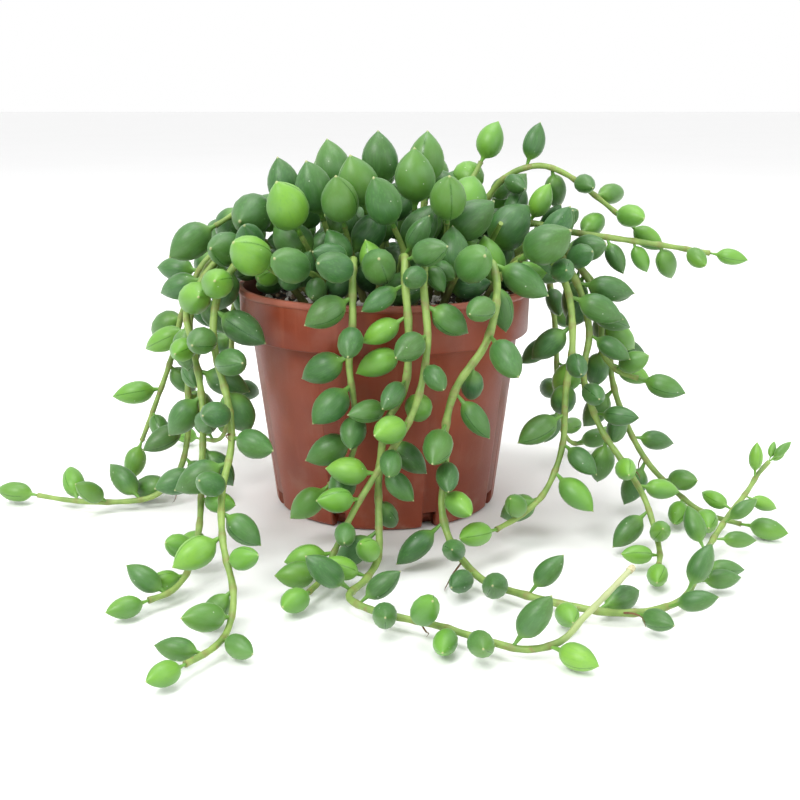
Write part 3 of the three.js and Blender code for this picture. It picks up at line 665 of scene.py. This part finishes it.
def course(run):
    """A smooth curve through the points, as many fine steps."""
    points = [np.array(p, float) for p in run]
    ends = [2 * points[0] - points[1]] + points + [2 * points[-1] - points[-2]]
    fine = []
    for i in range(len(points) - 1):
        before, here, there, after = ends[i:i + 4]
        leave, arrive = 0.5 * (there - before), 0.5 * (after - here)
        for j in range(FINE_STEPS):
            t = j / FINE_STEPS
            fine.append(here + leave * t + (3 * (there - here) - 2 * leave - arrive) * t ** 2
                        + (2 * (here - there) + leave + arrive) * t ** 3)
    return fine + [points[-1]]


Path = namedtuple("Path", "stops reach tip")


def walk(run):
    """Points at even distances along the course, its length and its tip."""
    fine = course(run)
    stops, total, target = [fine[0]], 0.0, SAMPLE
    for before, here in zip(fine, fine[1:]):
        step = math.dist(before, here)
        while total + step >= target:
            stops.append(before + (here - before) * ((target - total) / step))
            target += SAMPLE
        total += step
    return Path(np.array(stops), total, fine[-1])


def pose_at(path, distance):
    """The point and heading at a distance along a walked stem."""
    i = min(int(distance / SAMPLE), len(path.stops) - 2)
    step = path.stops[i + 1] - path.stops[i]
    return path.stops[i] + step * (distance / SAMPLE - i), step / np.linalg.norm(step)


def clear_of_pot(ball):
    """Whether a ball stands clear of the pot, the soil and the ground."""
    x, y, z, r = ball
    out = math.hypot(x, y)
    if z - r < GROUND_CLEAR:
        return False
    if z - r > LIP_TOP + CLEAR or out - r > RIM_RADIUS + CLEAR:
        return True
    if z - r < SOIL_TOP + CLEAR:
        return False
    from_lip = math.hypot(out - LIP_MIDDLE[0], z - LIP_MIDDLE[1]) - LIP_THICK
    over_lip = z > LIP_TOP and from_lip > r
    return out + r < BAND_RADIUS - WALL - CLEAR or over_lip


def balls_of(stem, root, way, length):
    """The balls that stand for one leaf when room is looked for."""
    return [(*(root + way * (stem.stalk + at * length)), part * length * stem.width)
            for at, part in LEAF_BALLS]


def has_room(balls, owner, distance, grown, paths):
    """Whether a leaf has room among the leaves already grown and every stem."""
    for ball in balls:
        centre, r = np.array(ball[:3]), ball[3]
        if not clear_of_pot(ball):
            return False
        if grown:
            others = np.array(grown)
            if (np.linalg.norm(others[:, :3] - centre, axis=1) < others[:, 3] + r + CLEAR).any():
                return False
        for path in paths:
            near = np.linalg.norm(path.stops - centre, axis=1) < r + STEM_RADIUS + CLEAR
            if path is owner:
                near &= np.abs(np.arange(len(near)) * SAMPLE - distance) >= OWN_STEM
            if near.any():
                return False
    return True


def leaf_way(heading, angle):
    """The direction of a leaf that leans off a heading, turned about it by an angle."""
    up = np.array((0, 0, 1.0)) if abs(heading[2]) < 0.9 else np.array((1.0, 0, 0))
    side = np.cross(heading, up)
    side /= np.linalg.norm(side)
    over = np.cross(side, heading)
    out = math.sqrt(1 - LEAF_LEAN ** 2)
    return heading * LEAF_LEAN + side * out * math.cos(angle) + over * out * math.sin(angle)


def grow_leaves(paths):
    """Every leaf, stem by stem, each turned, then shrunk, until it has room."""
    grown, foliage = [], []
    for s, (stem, path) in enumerate(zip(STEMS, paths)):
        leaves = []
        for t in range(TRIES if stem.end == "leaf" else 0):
            way = pose_at(path, path.reach - 0.001)[1] + np.array((0, 0, TIP_LIFT * t))
            way /= np.linalg.norm(way)
            balls = balls_of(stem, path.tip, way, stem.leaf[1])
            if has_room(balls, path, path.reach, grown, paths):
                grown += balls
                leaves.append((path.tip, way, stem.leaf[1], 1.0))
                break
        k = 0
        last = path.reach - (BARE_END if stem.end == "cut" else LAST_LEAF)
        while FIRST_LEAF + k * stem.gap < last:
            distance = FIRST_LEAF + k * stem.gap
            point, heading = pose_at(path, distance)
            share = distance / path.reach
            full = stem.leaf[0] + (stem.leaf[1] - stem.leaf[0]) * share
            full *= 1 + SIZE_SWING * math.sin(SWING_TURN * k + s)
            for t in range(3 * TRIES):
                length = full * (1 - SHRINK * (t // TRIES))
                way = leaf_way(heading, GOLDEN * k + s + (t % TRIES) * TURN_STEP)
                balls = balls_of(stem, point, way, length)
                if has_room(balls, path, distance, grown, paths):
                    grown += balls
                    leaves.append((point, way, length, share))
                    break
            k += 1
        foliage.append(leaves)
    return foliage


paths = [walk(stem.run) for stem in STEMS]
foliage = grow_leaves(paths)

# ---------------------------------------------------------------------------
# One leaf: a fleshy water-filled teardrop with a short stalk, a rounded base and a point that
# ends in a tiny pale spine. A long clear window runs down one side. Leaves on one piece share
# a form, whose stalk is as long for its leaf as theirs are.

LEAF_SIDES = 14
LEAF_FLATNESS = 0.93
LEAF_CURVE = 0.11
LEAF_KEEL = 0.05
# (share of the length beyond the stalk, share of the half width); the stalk lies below 0.
LEAF_PROFILE = ((0.0, 0.19), (0.05, 0.42), (0.11, 0.65), (0.19, 0.84), (0.29, 0.96), (0.40, 1.0),
                (0.52, 0.975), (0.64, 0.87), (0.75, 0.69), (0.84, 0.48), (0.91, 0.27), (0.95, 0.13),
                (0.975, 0.07))


def leaf_form(stalk):
    """The leaf one unit long beyond its stalk, along +Z from its joint, half a unit to each side."""
    rings = [(-stalk - 0.05, 0.15), (-stalk * 0.6, 0.12), *LEAF_PROFILE]
    maker = bmesh.new()
    local = maker.verts.layers.float_vector.new("leaf_place")
    made = []
    for at, part in rings:
        ring = []
        for i in range(LEAF_SIDES):
            a = 2 * math.pi * i / LEAF_SIDES
            across, aside = 0.5 * part * math.cos(a), 0.5 * part * math.sin(a)
            keel = 1 + LEAF_KEEL * math.cos(a) * (at > 0.1)
            flat = LEAF_FLATNESS if at > 0 else 1.0
            curve = LEAF_CURVE * max(at, 0) ** 2
            vert = maker.verts.new((across * keel + curve, aside * flat, at + stalk))
            vert[local] = (across, aside, at)
            ring.append(vert)
        made.append(ring)
    for low, high in zip(made, made[1:]):
        for i in range(LEAF_SIDES):
            j = (i + 1) % LEAF_SIDES
            maker.faces.new((low[i], low[j], high[j], high[i]))
    maker.faces.new(list(reversed(made[0])))
    point = maker.verts.new((LEAF_CURVE, 0, 1.0 + stalk))
    point[local] = (0, 0, 1.0)
    for i in range(LEAF_SIDES):
        maker.faces.new((made[-1][i], made[-1][(i + 1) % LEAF_SIDES], point))
    return make_object("leaf_form", maker)


def leaf_skin():
    """Waxy leaf skin: blue-green when grown, lime when young, bright at the base, darkened by painted shade
    on one side, with its window.
    """
    young_skin = (0.105, 0.300, 0.022, 1)
    material, tree, shader, where, life = living_surface(
        "leaf_skin", young_skin, young_skin, (300.0, 0.0), (2400.0, 0.06), 0.42)
    local = add(tree, "ShaderNodeAttribute", attribute_name="leaf_place").outputs["Vector"]
    young = add(tree, "ShaderNodeAttribute", attribute_name="young").outputs["Fac"]
    shade = add(tree, "ShaderNodeAttribute", attribute_name="shade").outputs["Fac"]
    place = add(tree, "ShaderNodeSeparateXYZ", inputs={0: local}).outputs
    grown = blend_colours(tree, shade, (0.013, 0.070, 0.020, 1), (0.050, 0.170, 0.030, 1))
    fresh = blend_colours(tree, shade, young_skin, (0.220, 0.450, 0.040, 1))
    warm = add(tree, "ShaderNodeAttribute", attribute_name="warm").outputs["Fac"]
    olive = blend_colours(tree, maths(tree, "MULTIPLY", warm, 0.45), grown, (0.085, 0.170, 0.016, 1))
    flesh = blend_colours(tree, young, olive, fresh)
    # Painted shade: the side of each leaf towards -X in its own frame is darkened, as if turned from the
    # light.
    painted_shade_side = maths(tree, "SUBTRACT", 1.0, ramp(tree, place["X"], -0.42, 0.12))
    side_shade_painted = blend_colours(tree, maths(tree, "MULTIPLY", painted_shade_side, 0.4), flesh, (0.018, 0.100, 0.024, 1), "MIX")
    base = maths(tree, "SUBTRACT", 1.0, ramp(tree, place["Z"], -0.02, 0.26))
    based = blend_colours(tree, maths(tree, "MULTIPLY", base, 0.7), side_shade_painted, (0.150, 0.330, 0.045, 1))
    streak = add(tree, "ShaderNodeTexNoise", inputs={
        "Vector": add(tree, "ShaderNodeMapping", inputs={
            "Vector": local, "Scale": (9, 9, 0.8)}).outputs[0],
        "Scale": 2.2, "Detail": 5.0}).outputs["Fac"]
    streaked = blend_colours(tree, maths(tree, "MULTIPLY", ramp(tree, streak, 0.45, 0.75), 0.35),
                             based, (0.085, 0.250, 0.045, 1))
    aside = maths(tree, "ABSOLUTE", place["Y"])
    narrow = maths(tree, "SUBTRACT", 1.0, ramp(tree, aside, 0.004, 0.050))
    facing = ramp(tree, place["X"], 0.02, 0.08)
    along = maths(tree, "MULTIPLY", ramp(tree, place["Z"], 0.08, 0.2),
                  maths(tree, "SUBTRACT", 1.0, ramp(tree, place["Z"], 0.85, 0.96)))
    window = maths(tree, "MULTIPLY", maths(tree, "MULTIPLY", narrow, facing), along)
    windowed = blend_colours(tree, maths(tree, "MULTIPLY", window, 0.38), streaked, (0.008, 0.055, 0.012, 1))
    point = ramp(tree, place["Z"], 0.955, 0.985)
    pointed = blend_colours(tree, maths(tree, "MULTIPLY", point, 0.8), windowed, (0.420, 0.430, 0.200, 1))
    for wanted in ("Colour", "Dark Colour"):
        tree.links.new(pointed, life.inputs[wanted])
    bloom = add(tree, "ShaderNodeTexNoise", inputs={"Vector": where, "Scale": 190.0, "Detail": 5.0})
    bloomed = blend_colours(tree, maths(tree, "MULTIPLY", ramp(tree, bloom.outputs["Fac"], 0.4, 0.75), 0.10),
                            life.outputs["Colour"], (0.220, 0.400, 0.260, 1))
    cells = add(tree, "ShaderNodeTexVoronoi", inputs={"Vector": where, "Scale": 430.0})
    chosen = add(tree, "ShaderNodeSeparateColor", inputs={0: cells.outputs["Color"]}).outputs[0]
    near = maths(tree, "SUBTRACT", 1.0, ramp(tree, cells.outputs["Distance"], 0.05, 0.10))
    speck = maths(tree, "MULTIPLY", near, maths(tree, "GREATER_THAN", chosen, 0.72))
    specked = blend_colours(tree, maths(tree, "MULTIPLY", speck, 0.6), bloomed, (0.550, 0.640, 0.480, 1))
    tree.links.new(specked, shader.inputs["Base Color"])
    rough = maths(tree, "SUBTRACT", life.outputs["Roughness"], maths(tree, "MULTIPLY", window, 0.18))
    tree.links.new(rough, shader.inputs["Roughness"])
    shader.inputs["Specular IOR Level"].default_value = 0.5
    shader.inputs["Sheen Weight"].default_value = 0.12
    shader.inputs["Sheen Tint"].default_value = (0.55, 0.85, 0.50, 1)
    return material


def stem_skin():
    """Stem skin: pale yellow-green, browner near the root and at the joints, bleached where dry."""
    material, tree, shader, where, life = living_surface(
        "stem_skin", (0.250, 0.370, 0.085, 1), (0.130, 0.230, 0.045, 1), (210.0, 0.8), (1900.0, 0.15), 0.5)
    along = add(tree, "ShaderNodeAttribute", attribute_name="along").outputs["Fac"]
    rooty = maths(tree, "SUBTRACT", 1.0, ramp(tree, along, 0.0, 0.018))
    colour = blend_colours(tree, maths(tree, "MULTIPLY", rooty, 0.6), life.outputs["Colour"],
                           (0.170, 0.120, 0.060, 1))
    spots = add(tree, "ShaderNodeTexNoise", inputs={"Vector": where, "Scale": 520.0, "Detail": 4.0})
    spotted = blend_colours(tree, maths(tree, "MULTIPLY", ramp(tree, spots.outputs["Fac"], 0.6, 0.72), 0.55),
                            colour, (0.240, 0.150, 0.070, 1))
    joint = add(tree, "ShaderNodeAttribute", attribute_name="joint").outputs["Fac"]
    jointed = blend_colours(tree, maths(tree, "MULTIPLY", joint, 0.6), spotted, (0.210, 0.190, 0.060, 1))
    dry = add(tree, "ShaderNodeAttribute", attribute_name="dry").outputs["Fac"]
    bleached = blend_colours(tree, maths(tree, "MULTIPLY", dry, 0.75), jointed, (0.520, 0.540, 0.320, 1))
    tree.links.new(bleached, shader.inputs["Base Color"])
    return material


# ---------------------------------------------------------------------------
# The leafy stems: a soft round stem, thick at the root and thin at the tip, swollen slightly
# at each leaf joint. Leaves are set on it at their joints. Each trailing stem is one piece,
# and the short upright shoots of the crown are one piece together.


def named(tree, name, kind):
    """A value stored on the points under a name."""
    node = add(tree, "GeometryNodeInputNamedAttribute", data_type=kind, inputs={"Name": name})
    return node.outputs["Attribute"]


def leafy_stem_tree():
    """Stems swept along their courses, leaves set on their joints, all made real."""
    tree = bpy.data.node_groups.new("leafy_stem", "GeometryNodeTree")
    named_sockets(tree, (
        ("Geometry", "NodeSocketGeometry"), ("Leaf", "NodeSocketObject"), ("Stem Sides", "NodeSocketInt"),
        ("Stem Material", "NodeSocketMaterial"), ("Leaf Material", "NodeSocketMaterial")))
    source = add(tree, "NodeGroupInput").outputs
    joint = named(tree, "is_leaf", "BOOLEAN")
    leaf = add(tree, "GeometryNodeObjectInfo", inputs={"Object": source["Leaf"]})
    leaves = add(tree, "GeometryNodeInstanceOnPoints", inputs={
        "Points": source["Geometry"], "Selection": joint, "Instance": leaf.outputs["Geometry"],
        "Rotation": add(tree, "FunctionNodeEulerToRotation",
                        inputs={0: named(tree, "turn", "FLOAT_VECTOR")}).outputs[0],
        "Scale": named(tree, "size", "FLOAT_VECTOR")})
    real = add(tree, "GeometryNodeRealizeInstances", inputs={"Geometry": leaves.outputs[0]})
    skinned = add(tree, "GeometryNodeSetMaterial", inputs={
        "Geometry": real.outputs[0], "Material": source["Leaf Material"]})
    line = add(tree, "GeometryNodeMeshToCurve", inputs={"Mesh": source["Geometry"]})
    ring = add(tree, "GeometryNodeCurvePrimitiveCircle", inputs={
        "Resolution": source["Stem Sides"], "Radius": 1.0})
    swept = add(tree, "GeometryNodeCurveToMesh", inputs={
        "Curve": line.outputs[0], "Profile Curve": ring.outputs[0],
        "Scale": named(tree, "thick", "FLOAT"), "Fill Caps": True})
    stems = add(tree, "GeometryNodeSetMaterial", inputs={
        "Geometry": swept.outputs[0], "Material": source["Stem Material"]})
    both = add(tree, "GeometryNodeJoinGeometry", inputs={"Geometry": stems.outputs[0]})
    tree.links.new(skinned.outputs[0], both.inputs["Geometry"])
    smooth = add(tree, "GeometryNodeSetShadeSmooth", inputs={"Geometry": both.outputs[0]})
    tree.links.new(smooth.outputs[0], add(tree, "NodeGroupOutput").inputs["Geometry"])
    return tree


leaf_material = leaf_skin()
stem_material = stem_skin()
leafy_stem = leafy_stem_tree()
STEM_STEP = 0.0008
STEM_SIDES = 10
TIP_SHARE = 0.66
TAPER = 1.4
KNEE = 0.16
KNEE_REACH = 0.0012
WAVE = 0.05
WAVE_LENGTH = 0.0011
YOUNG_FROM = 0.72


def stem_points(path, leaves):
    """Places along a stem with the thickness there, swollen a little at each joint."""
    joints = np.array([share * path.reach for _, _, _, share in leaves] or [0.0])
    count = int(path.reach / STEM_STEP)
    places = []
    for i in range(count + 1):
        distance = min(i * path.reach / count, path.reach - 1e-6)
        thick = STEM_RADIUS * (1 - (1 - TIP_SHARE) * (distance / path.reach) ** TAPER)
        knee = math.exp(-(np.abs(joints - distance).min() / KNEE_REACH) ** 2)
        thick *= (1 + KNEE * knee) * (1 + WAVE * math.sin(distance / WAVE_LENGTH))
        places.append((pose_at(path, distance)[0], thick, distance, knee ** 3))
    return places


def bud_leaves(path):
    """The smallest leaves, folded round the growing tip of a long stem."""
    heading = pose_at(path, path.reach - 0.001)[1]
    folded = []
    for length, angle in ((0.0055, 0.6), (0.0045, 2.9), (0.0035, 4.8)):
        way = heading * 1.6 + leaf_way(heading, angle)
        folded.append((path.tip, way / np.linalg.norm(way), length, 1.0))
    return folded


def chance(k, s, first, second, spread):
    """A fixed share between 0 and 1 that looks random, for leaf k of stem s."""
    return (math.sin(first * (k + 1) + second * (s + 1)) * spread) % 1


# What each place on a stem, or each leaf's root, carries into the growth tree and the skins.
Spot = namedtuple("Spot", "is_leaf turn size thick along joint dry young shade warm",
                  defaults=(False, (0, 0, 0), (1, 1, 1), 0, 0, 0, 0, 0, 0, 0))
SPOT_KINDS = {"is_leaf": "BOOLEAN", "turn": "FLOAT_VECTOR", "size": "FLOAT_VECTOR"}


def grow(name, members):
    """One piece: the stems of that list and the leaves on them."""
    places, edges, spots = [], [], []
    first_stem = STEMS[members[0]]
    stalk = 2 * first_stem.stalk / sum(first_stem.leaf)
    leaf_pattern = leaf_form(stalk)
    for s in members:
        stem, path, leaves = STEMS[s], paths[s], foliage[s]
        first = len(places)
        for point, thick, along, joint in stem_points(path, leaves):
            places.append(tuple(point))
            bare = max(0.0, 1 - (path.reach - along) / BARE_END) if stem.end == "cut" else 0.0
            spots.append(Spot(thick=thick, along=along, joint=joint, dry=bare ** 0.5))
        edges += [(i, i + 1) for i in range(first, len(places) - 1)]
        if stem.end == "bud":
            leaves = leaves + bud_leaves(path)
        for k, (root, way, length, share) in enumerate(leaves):
            dice = chance(k, s, 12.9898, 78.233, 43758.5453)
            again = chance(k, s, 39.346, 11.135, 24634.6345)
            turn = Vector(way).to_track_quat("Z", "Y") @ Euler((0, 0, 6.28 * dice)).to_quaternion()
            width = length * stem.width * (0.92 + 0.08 * again)
            tall = (length + stem.stalk) / (1 + stalk)
            late = min(max((share - YOUNG_FROM) / (1 - YOUNG_FROM), 0), 1)
            young = max(0.7 * late * (0.4 + again), 1.0 if dice < stem.fresh * (0.25 + share) else 0.0)
            young *= 0.35 if stem.name.startswith("crown") and dice > 0.12 else 1
            places.append(tuple(root))
            spots.append(Spot(
                is_leaf=True, turn=tuple(turn.to_euler()), size=(width, width, tall), along=share,
                young=min(young, 1.0) * 0.9, shade=0.15 + 0.85 * again * (0.4 + 0.6 * dice), warm=dice))
    mesh = bpy.data.meshes.new(name)
    mesh.from_pydata(places, edges, [])
    for label in Spot._fields:
        kind = SPOT_KINDS.get(label, "FLOAT")
        layer = mesh.attributes.new(label, kind, "POINT")
        values = [getattr(spot, label) for spot in spots]
        if kind == "FLOAT_VECTOR":
            layer.data.foreach_set("vector", np.array(values, float).ravel())
        else:
            layer.data.foreach_set("value", values)
    sketch = bpy.data.objects.new(name, mesh)
    bpy.context.scene.collection.objects.link(sketch)
    growth = sketch.modifiers.new("growth", "NODES")
    growth.node_group = leafy_stem
    set_inputs(growth, {"Leaf": leaf_pattern, "Stem Sides": STEM_SIDES, "Stem Material": stem_material,
                        "Leaf Material": leaf_material})
    made = baked(sketch, name)
    bpy.data.objects.remove(leaf_pattern)
    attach(made, "root")
    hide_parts(*[STEMS[s].name for s in members])
    return made


for s, stem in enumerate(STEMS):
    if stem.name.startswith("trail"):
        grow("leafy_" + stem.name, [s])
grow("leafy_crown", [s for s, stem in enumerate(STEMS) if stem.name.startswith("crown")])

# ---------------------------------------------------------------------------
# The cut end: the long front stem was cut, and its pale dry face shows at its tip, with the
# ring of its skin round a corky middle. A short domed plug closes the stem.


CUT_SIDES = 20
# Pale dry plant tissue with browner blotches.
cut_tissue = living_surface("cut_tissue", (0.62, 0.60, 0.38, 1), (0.36, 0.27, 0.13, 1),
                            (1500.0, 0.8), (5200.0, 0.6), 0.75)[0]
arc = next(path for stem, path in zip(STEMS, paths) if stem.end == "cut")
end_way = pose_at(arc, arc.reach - 0.001)[1]
end_radius = STEM_RADIUS * 0.8
plug_profile = [(0, -0.0022), (end_radius, -0.0022), (end_radius * 1.04, -0.0004),
                (end_radius * 0.96, 0.0), (end_radius * 0.7, -0.00012), (end_radius * 0.35, 0.0001),
                (0, 0.00014)]
plug_maker = turned(rounded(plug_profile, 0.0002, 2), CUT_SIDES)
plug_turn = Vector(end_way).to_track_quat("Z", "Y").to_matrix()
for vert in plug_maker.verts:
    vert.co = plug_turn @ vert.co + Vector(arc.tip)
cut_end = make_object("cut_end", plug_maker, cut_tissue)
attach(cut_end, "root")

# ---------------------------------------------------------------------------
# Dried rootlets: thin brown threads that sprout at the joints of stems that lie on the surface
# or hang low, and wither there. Each is a tapering bent thread from a joint.


ROOTLET_RADIUS = 0.00032
ROOTLET_BEND = 0.0018
ROOTLET_STEPS = 9
ROOTLET_SIDES = 6
# Withered brown root skin.
rootlet_skin = living_surface("dry_rootlet", (0.20, 0.10, 0.045, 1), (0.08, 0.035, 0.018, 1),
                              (900.0, 0.9), (4200.0, 0.4), 0.8)[0]


def thread(maker, start, way, length, radius, bend):
    """A thin tapering closed thread that leaves start along way and bends sideways."""
    sideways = way.cross(Vector((0, 0, 1))).normalized()
    previous = None
    for k in range(ROOTLET_STEPS + 1):
        t = k / ROOTLET_STEPS
        centre = start + way * length * t + sideways * bend * math.sin(3.6 * t) * t
        centre.z = max(centre.z - 0.4 * length * t * t, radius + 0.0002)
        thin = radius * (1 - 0.75 * t)
        ring = []
        for i in range(ROOTLET_SIDES):
            a = 2 * math.pi * i / ROOTLET_SIDES
            ring.append(maker.verts.new(centre + sideways * thin * math.cos(a)
                                        + way.cross(sideways) * thin * math.sin(a)))
        if previous:
            for i in range(ROOTLET_SIDES):
                j = (i + 1) % ROOTLET_SIDES
                maker.faces.new((previous[i], previous[j], ring[j], ring[i]))
        else:
            maker.faces.new(list(reversed(ring)))
        previous = ring
    maker.faces.new(previous)


# Each has its stem, its distance along it, and its length.
ROOTLETS = (
    ("trail_front_arc", 0.125, 0.009), ("trail_front_arc", 0.160, 0.006),
    ("trail_front_right", 0.118, 0.011), ("trail_front_right", 0.165, 0.010),
    ("trail_left_inner", 0.085, 0.006), ("trail_left_outer", 0.06, 0.005),
    ("trail_right", 0.095, 0.007), ("trail_right_outer", 0.10, 0.007), ("trail_far_left", 0.105, 0.006),
)
rootlet_maker = bmesh.new()
for k, (name, distance, length) in enumerate(ROOTLETS):
    s = [stem.name for stem in STEMS].index(name)
    point, heading = pose_at(paths[s], distance)
    way = Vector(leaf_way(heading, 4.1 + 0.9 * k)).normalized()
    thread(rootlet_maker, Vector(point), way, length, ROOTLET_RADIUS, ROOTLET_BEND * (-1) ** k)
bmesh.ops.recalc_face_normals(rootlet_maker, faces=rootlet_maker.faces[:])
rootlets = make_object("dried_rootlets", rootlet_maker, rootlet_skin)
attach(rootlets, "root")

# ---------------------------------------------------------------------------
# The place it stands: a plain pale floor, soft studio light from above and both sides, and
# the camera a little above the rim, looking slightly down.

FLOOR_SIZE = 20.0
FLOOR_DROP = 0.0002
# A plain pale floor with the faintest drift of tone.
floor_paint = living_surface("studio_floor", (0.93, 0.93, 0.93, 1), (0.91, 0.91, 0.91, 1),
                             (3.0, 0.4), (300.0, 0.0), 0.8)[0]
floor_maker = bmesh.new()
bmesh.ops.create_grid(floor_maker, x_segments=4, y_segments=4, size=FLOOR_SIZE)
floor = make_object("studio_floor", floor_maker, floor_paint)
floor.location.z = -FLOOR_DROP


def soft_light(name, place, aim, power, size):
    """A square soft box aimed at a point."""
    lamp = bpy.data.lights.new(name, "AREA")
    lamp.energy = power
    lamp.size = size
    holder = bpy.data.objects.new(name, lamp)
    holder.location = place
    holder.rotation_euler = (Vector(aim) - Vector(place)).to_track_quat("-Z", "Y").to_euler()
    bpy.context.scene.collection.objects.link(holder)


MIDDLE = (0, -0.02, 0.05)
soft_light("key_light", (-0.5, -0.7, 0.9), MIDDLE, 9, 0.5)
soft_light("fill_light", (0.8, -0.6, 0.5), MIDDLE, 2.5, 0.7)
soft_light("top_light", (0.05, 0.1, 1.1), MIDDLE, 6, 0.7)
world = bpy.data.worlds.new("studio")
bpy.context.scene.world = world
world.use_nodes = True
sky = world.node_tree.nodes["Background"]
sky.inputs["Color"].default_value = (1, 1, 1, 1)
sky.inputs["Strength"].default_value = 1.0
bpy.context.scene.view_settings.view_transform = "Standard"

CAMERA_PLACE = (0.0047, -0.350, 0.1213)
LOOK_DOWN = 14.5
lens = bpy.data.cameras.new("camera")
lens.lens = 51.4
lens.sensor_width = 36
lens.clip_start = 0.01
camera = bpy.data.objects.new("camera", lens)
camera.location = CAMERA_PLACE
camera.rotation_euler = (math.radians(90 - LOOK_DOWN), 0, 0)
bpy.context.scene.collection.objects.link(camera)
bpy.context.scene.camera = camera
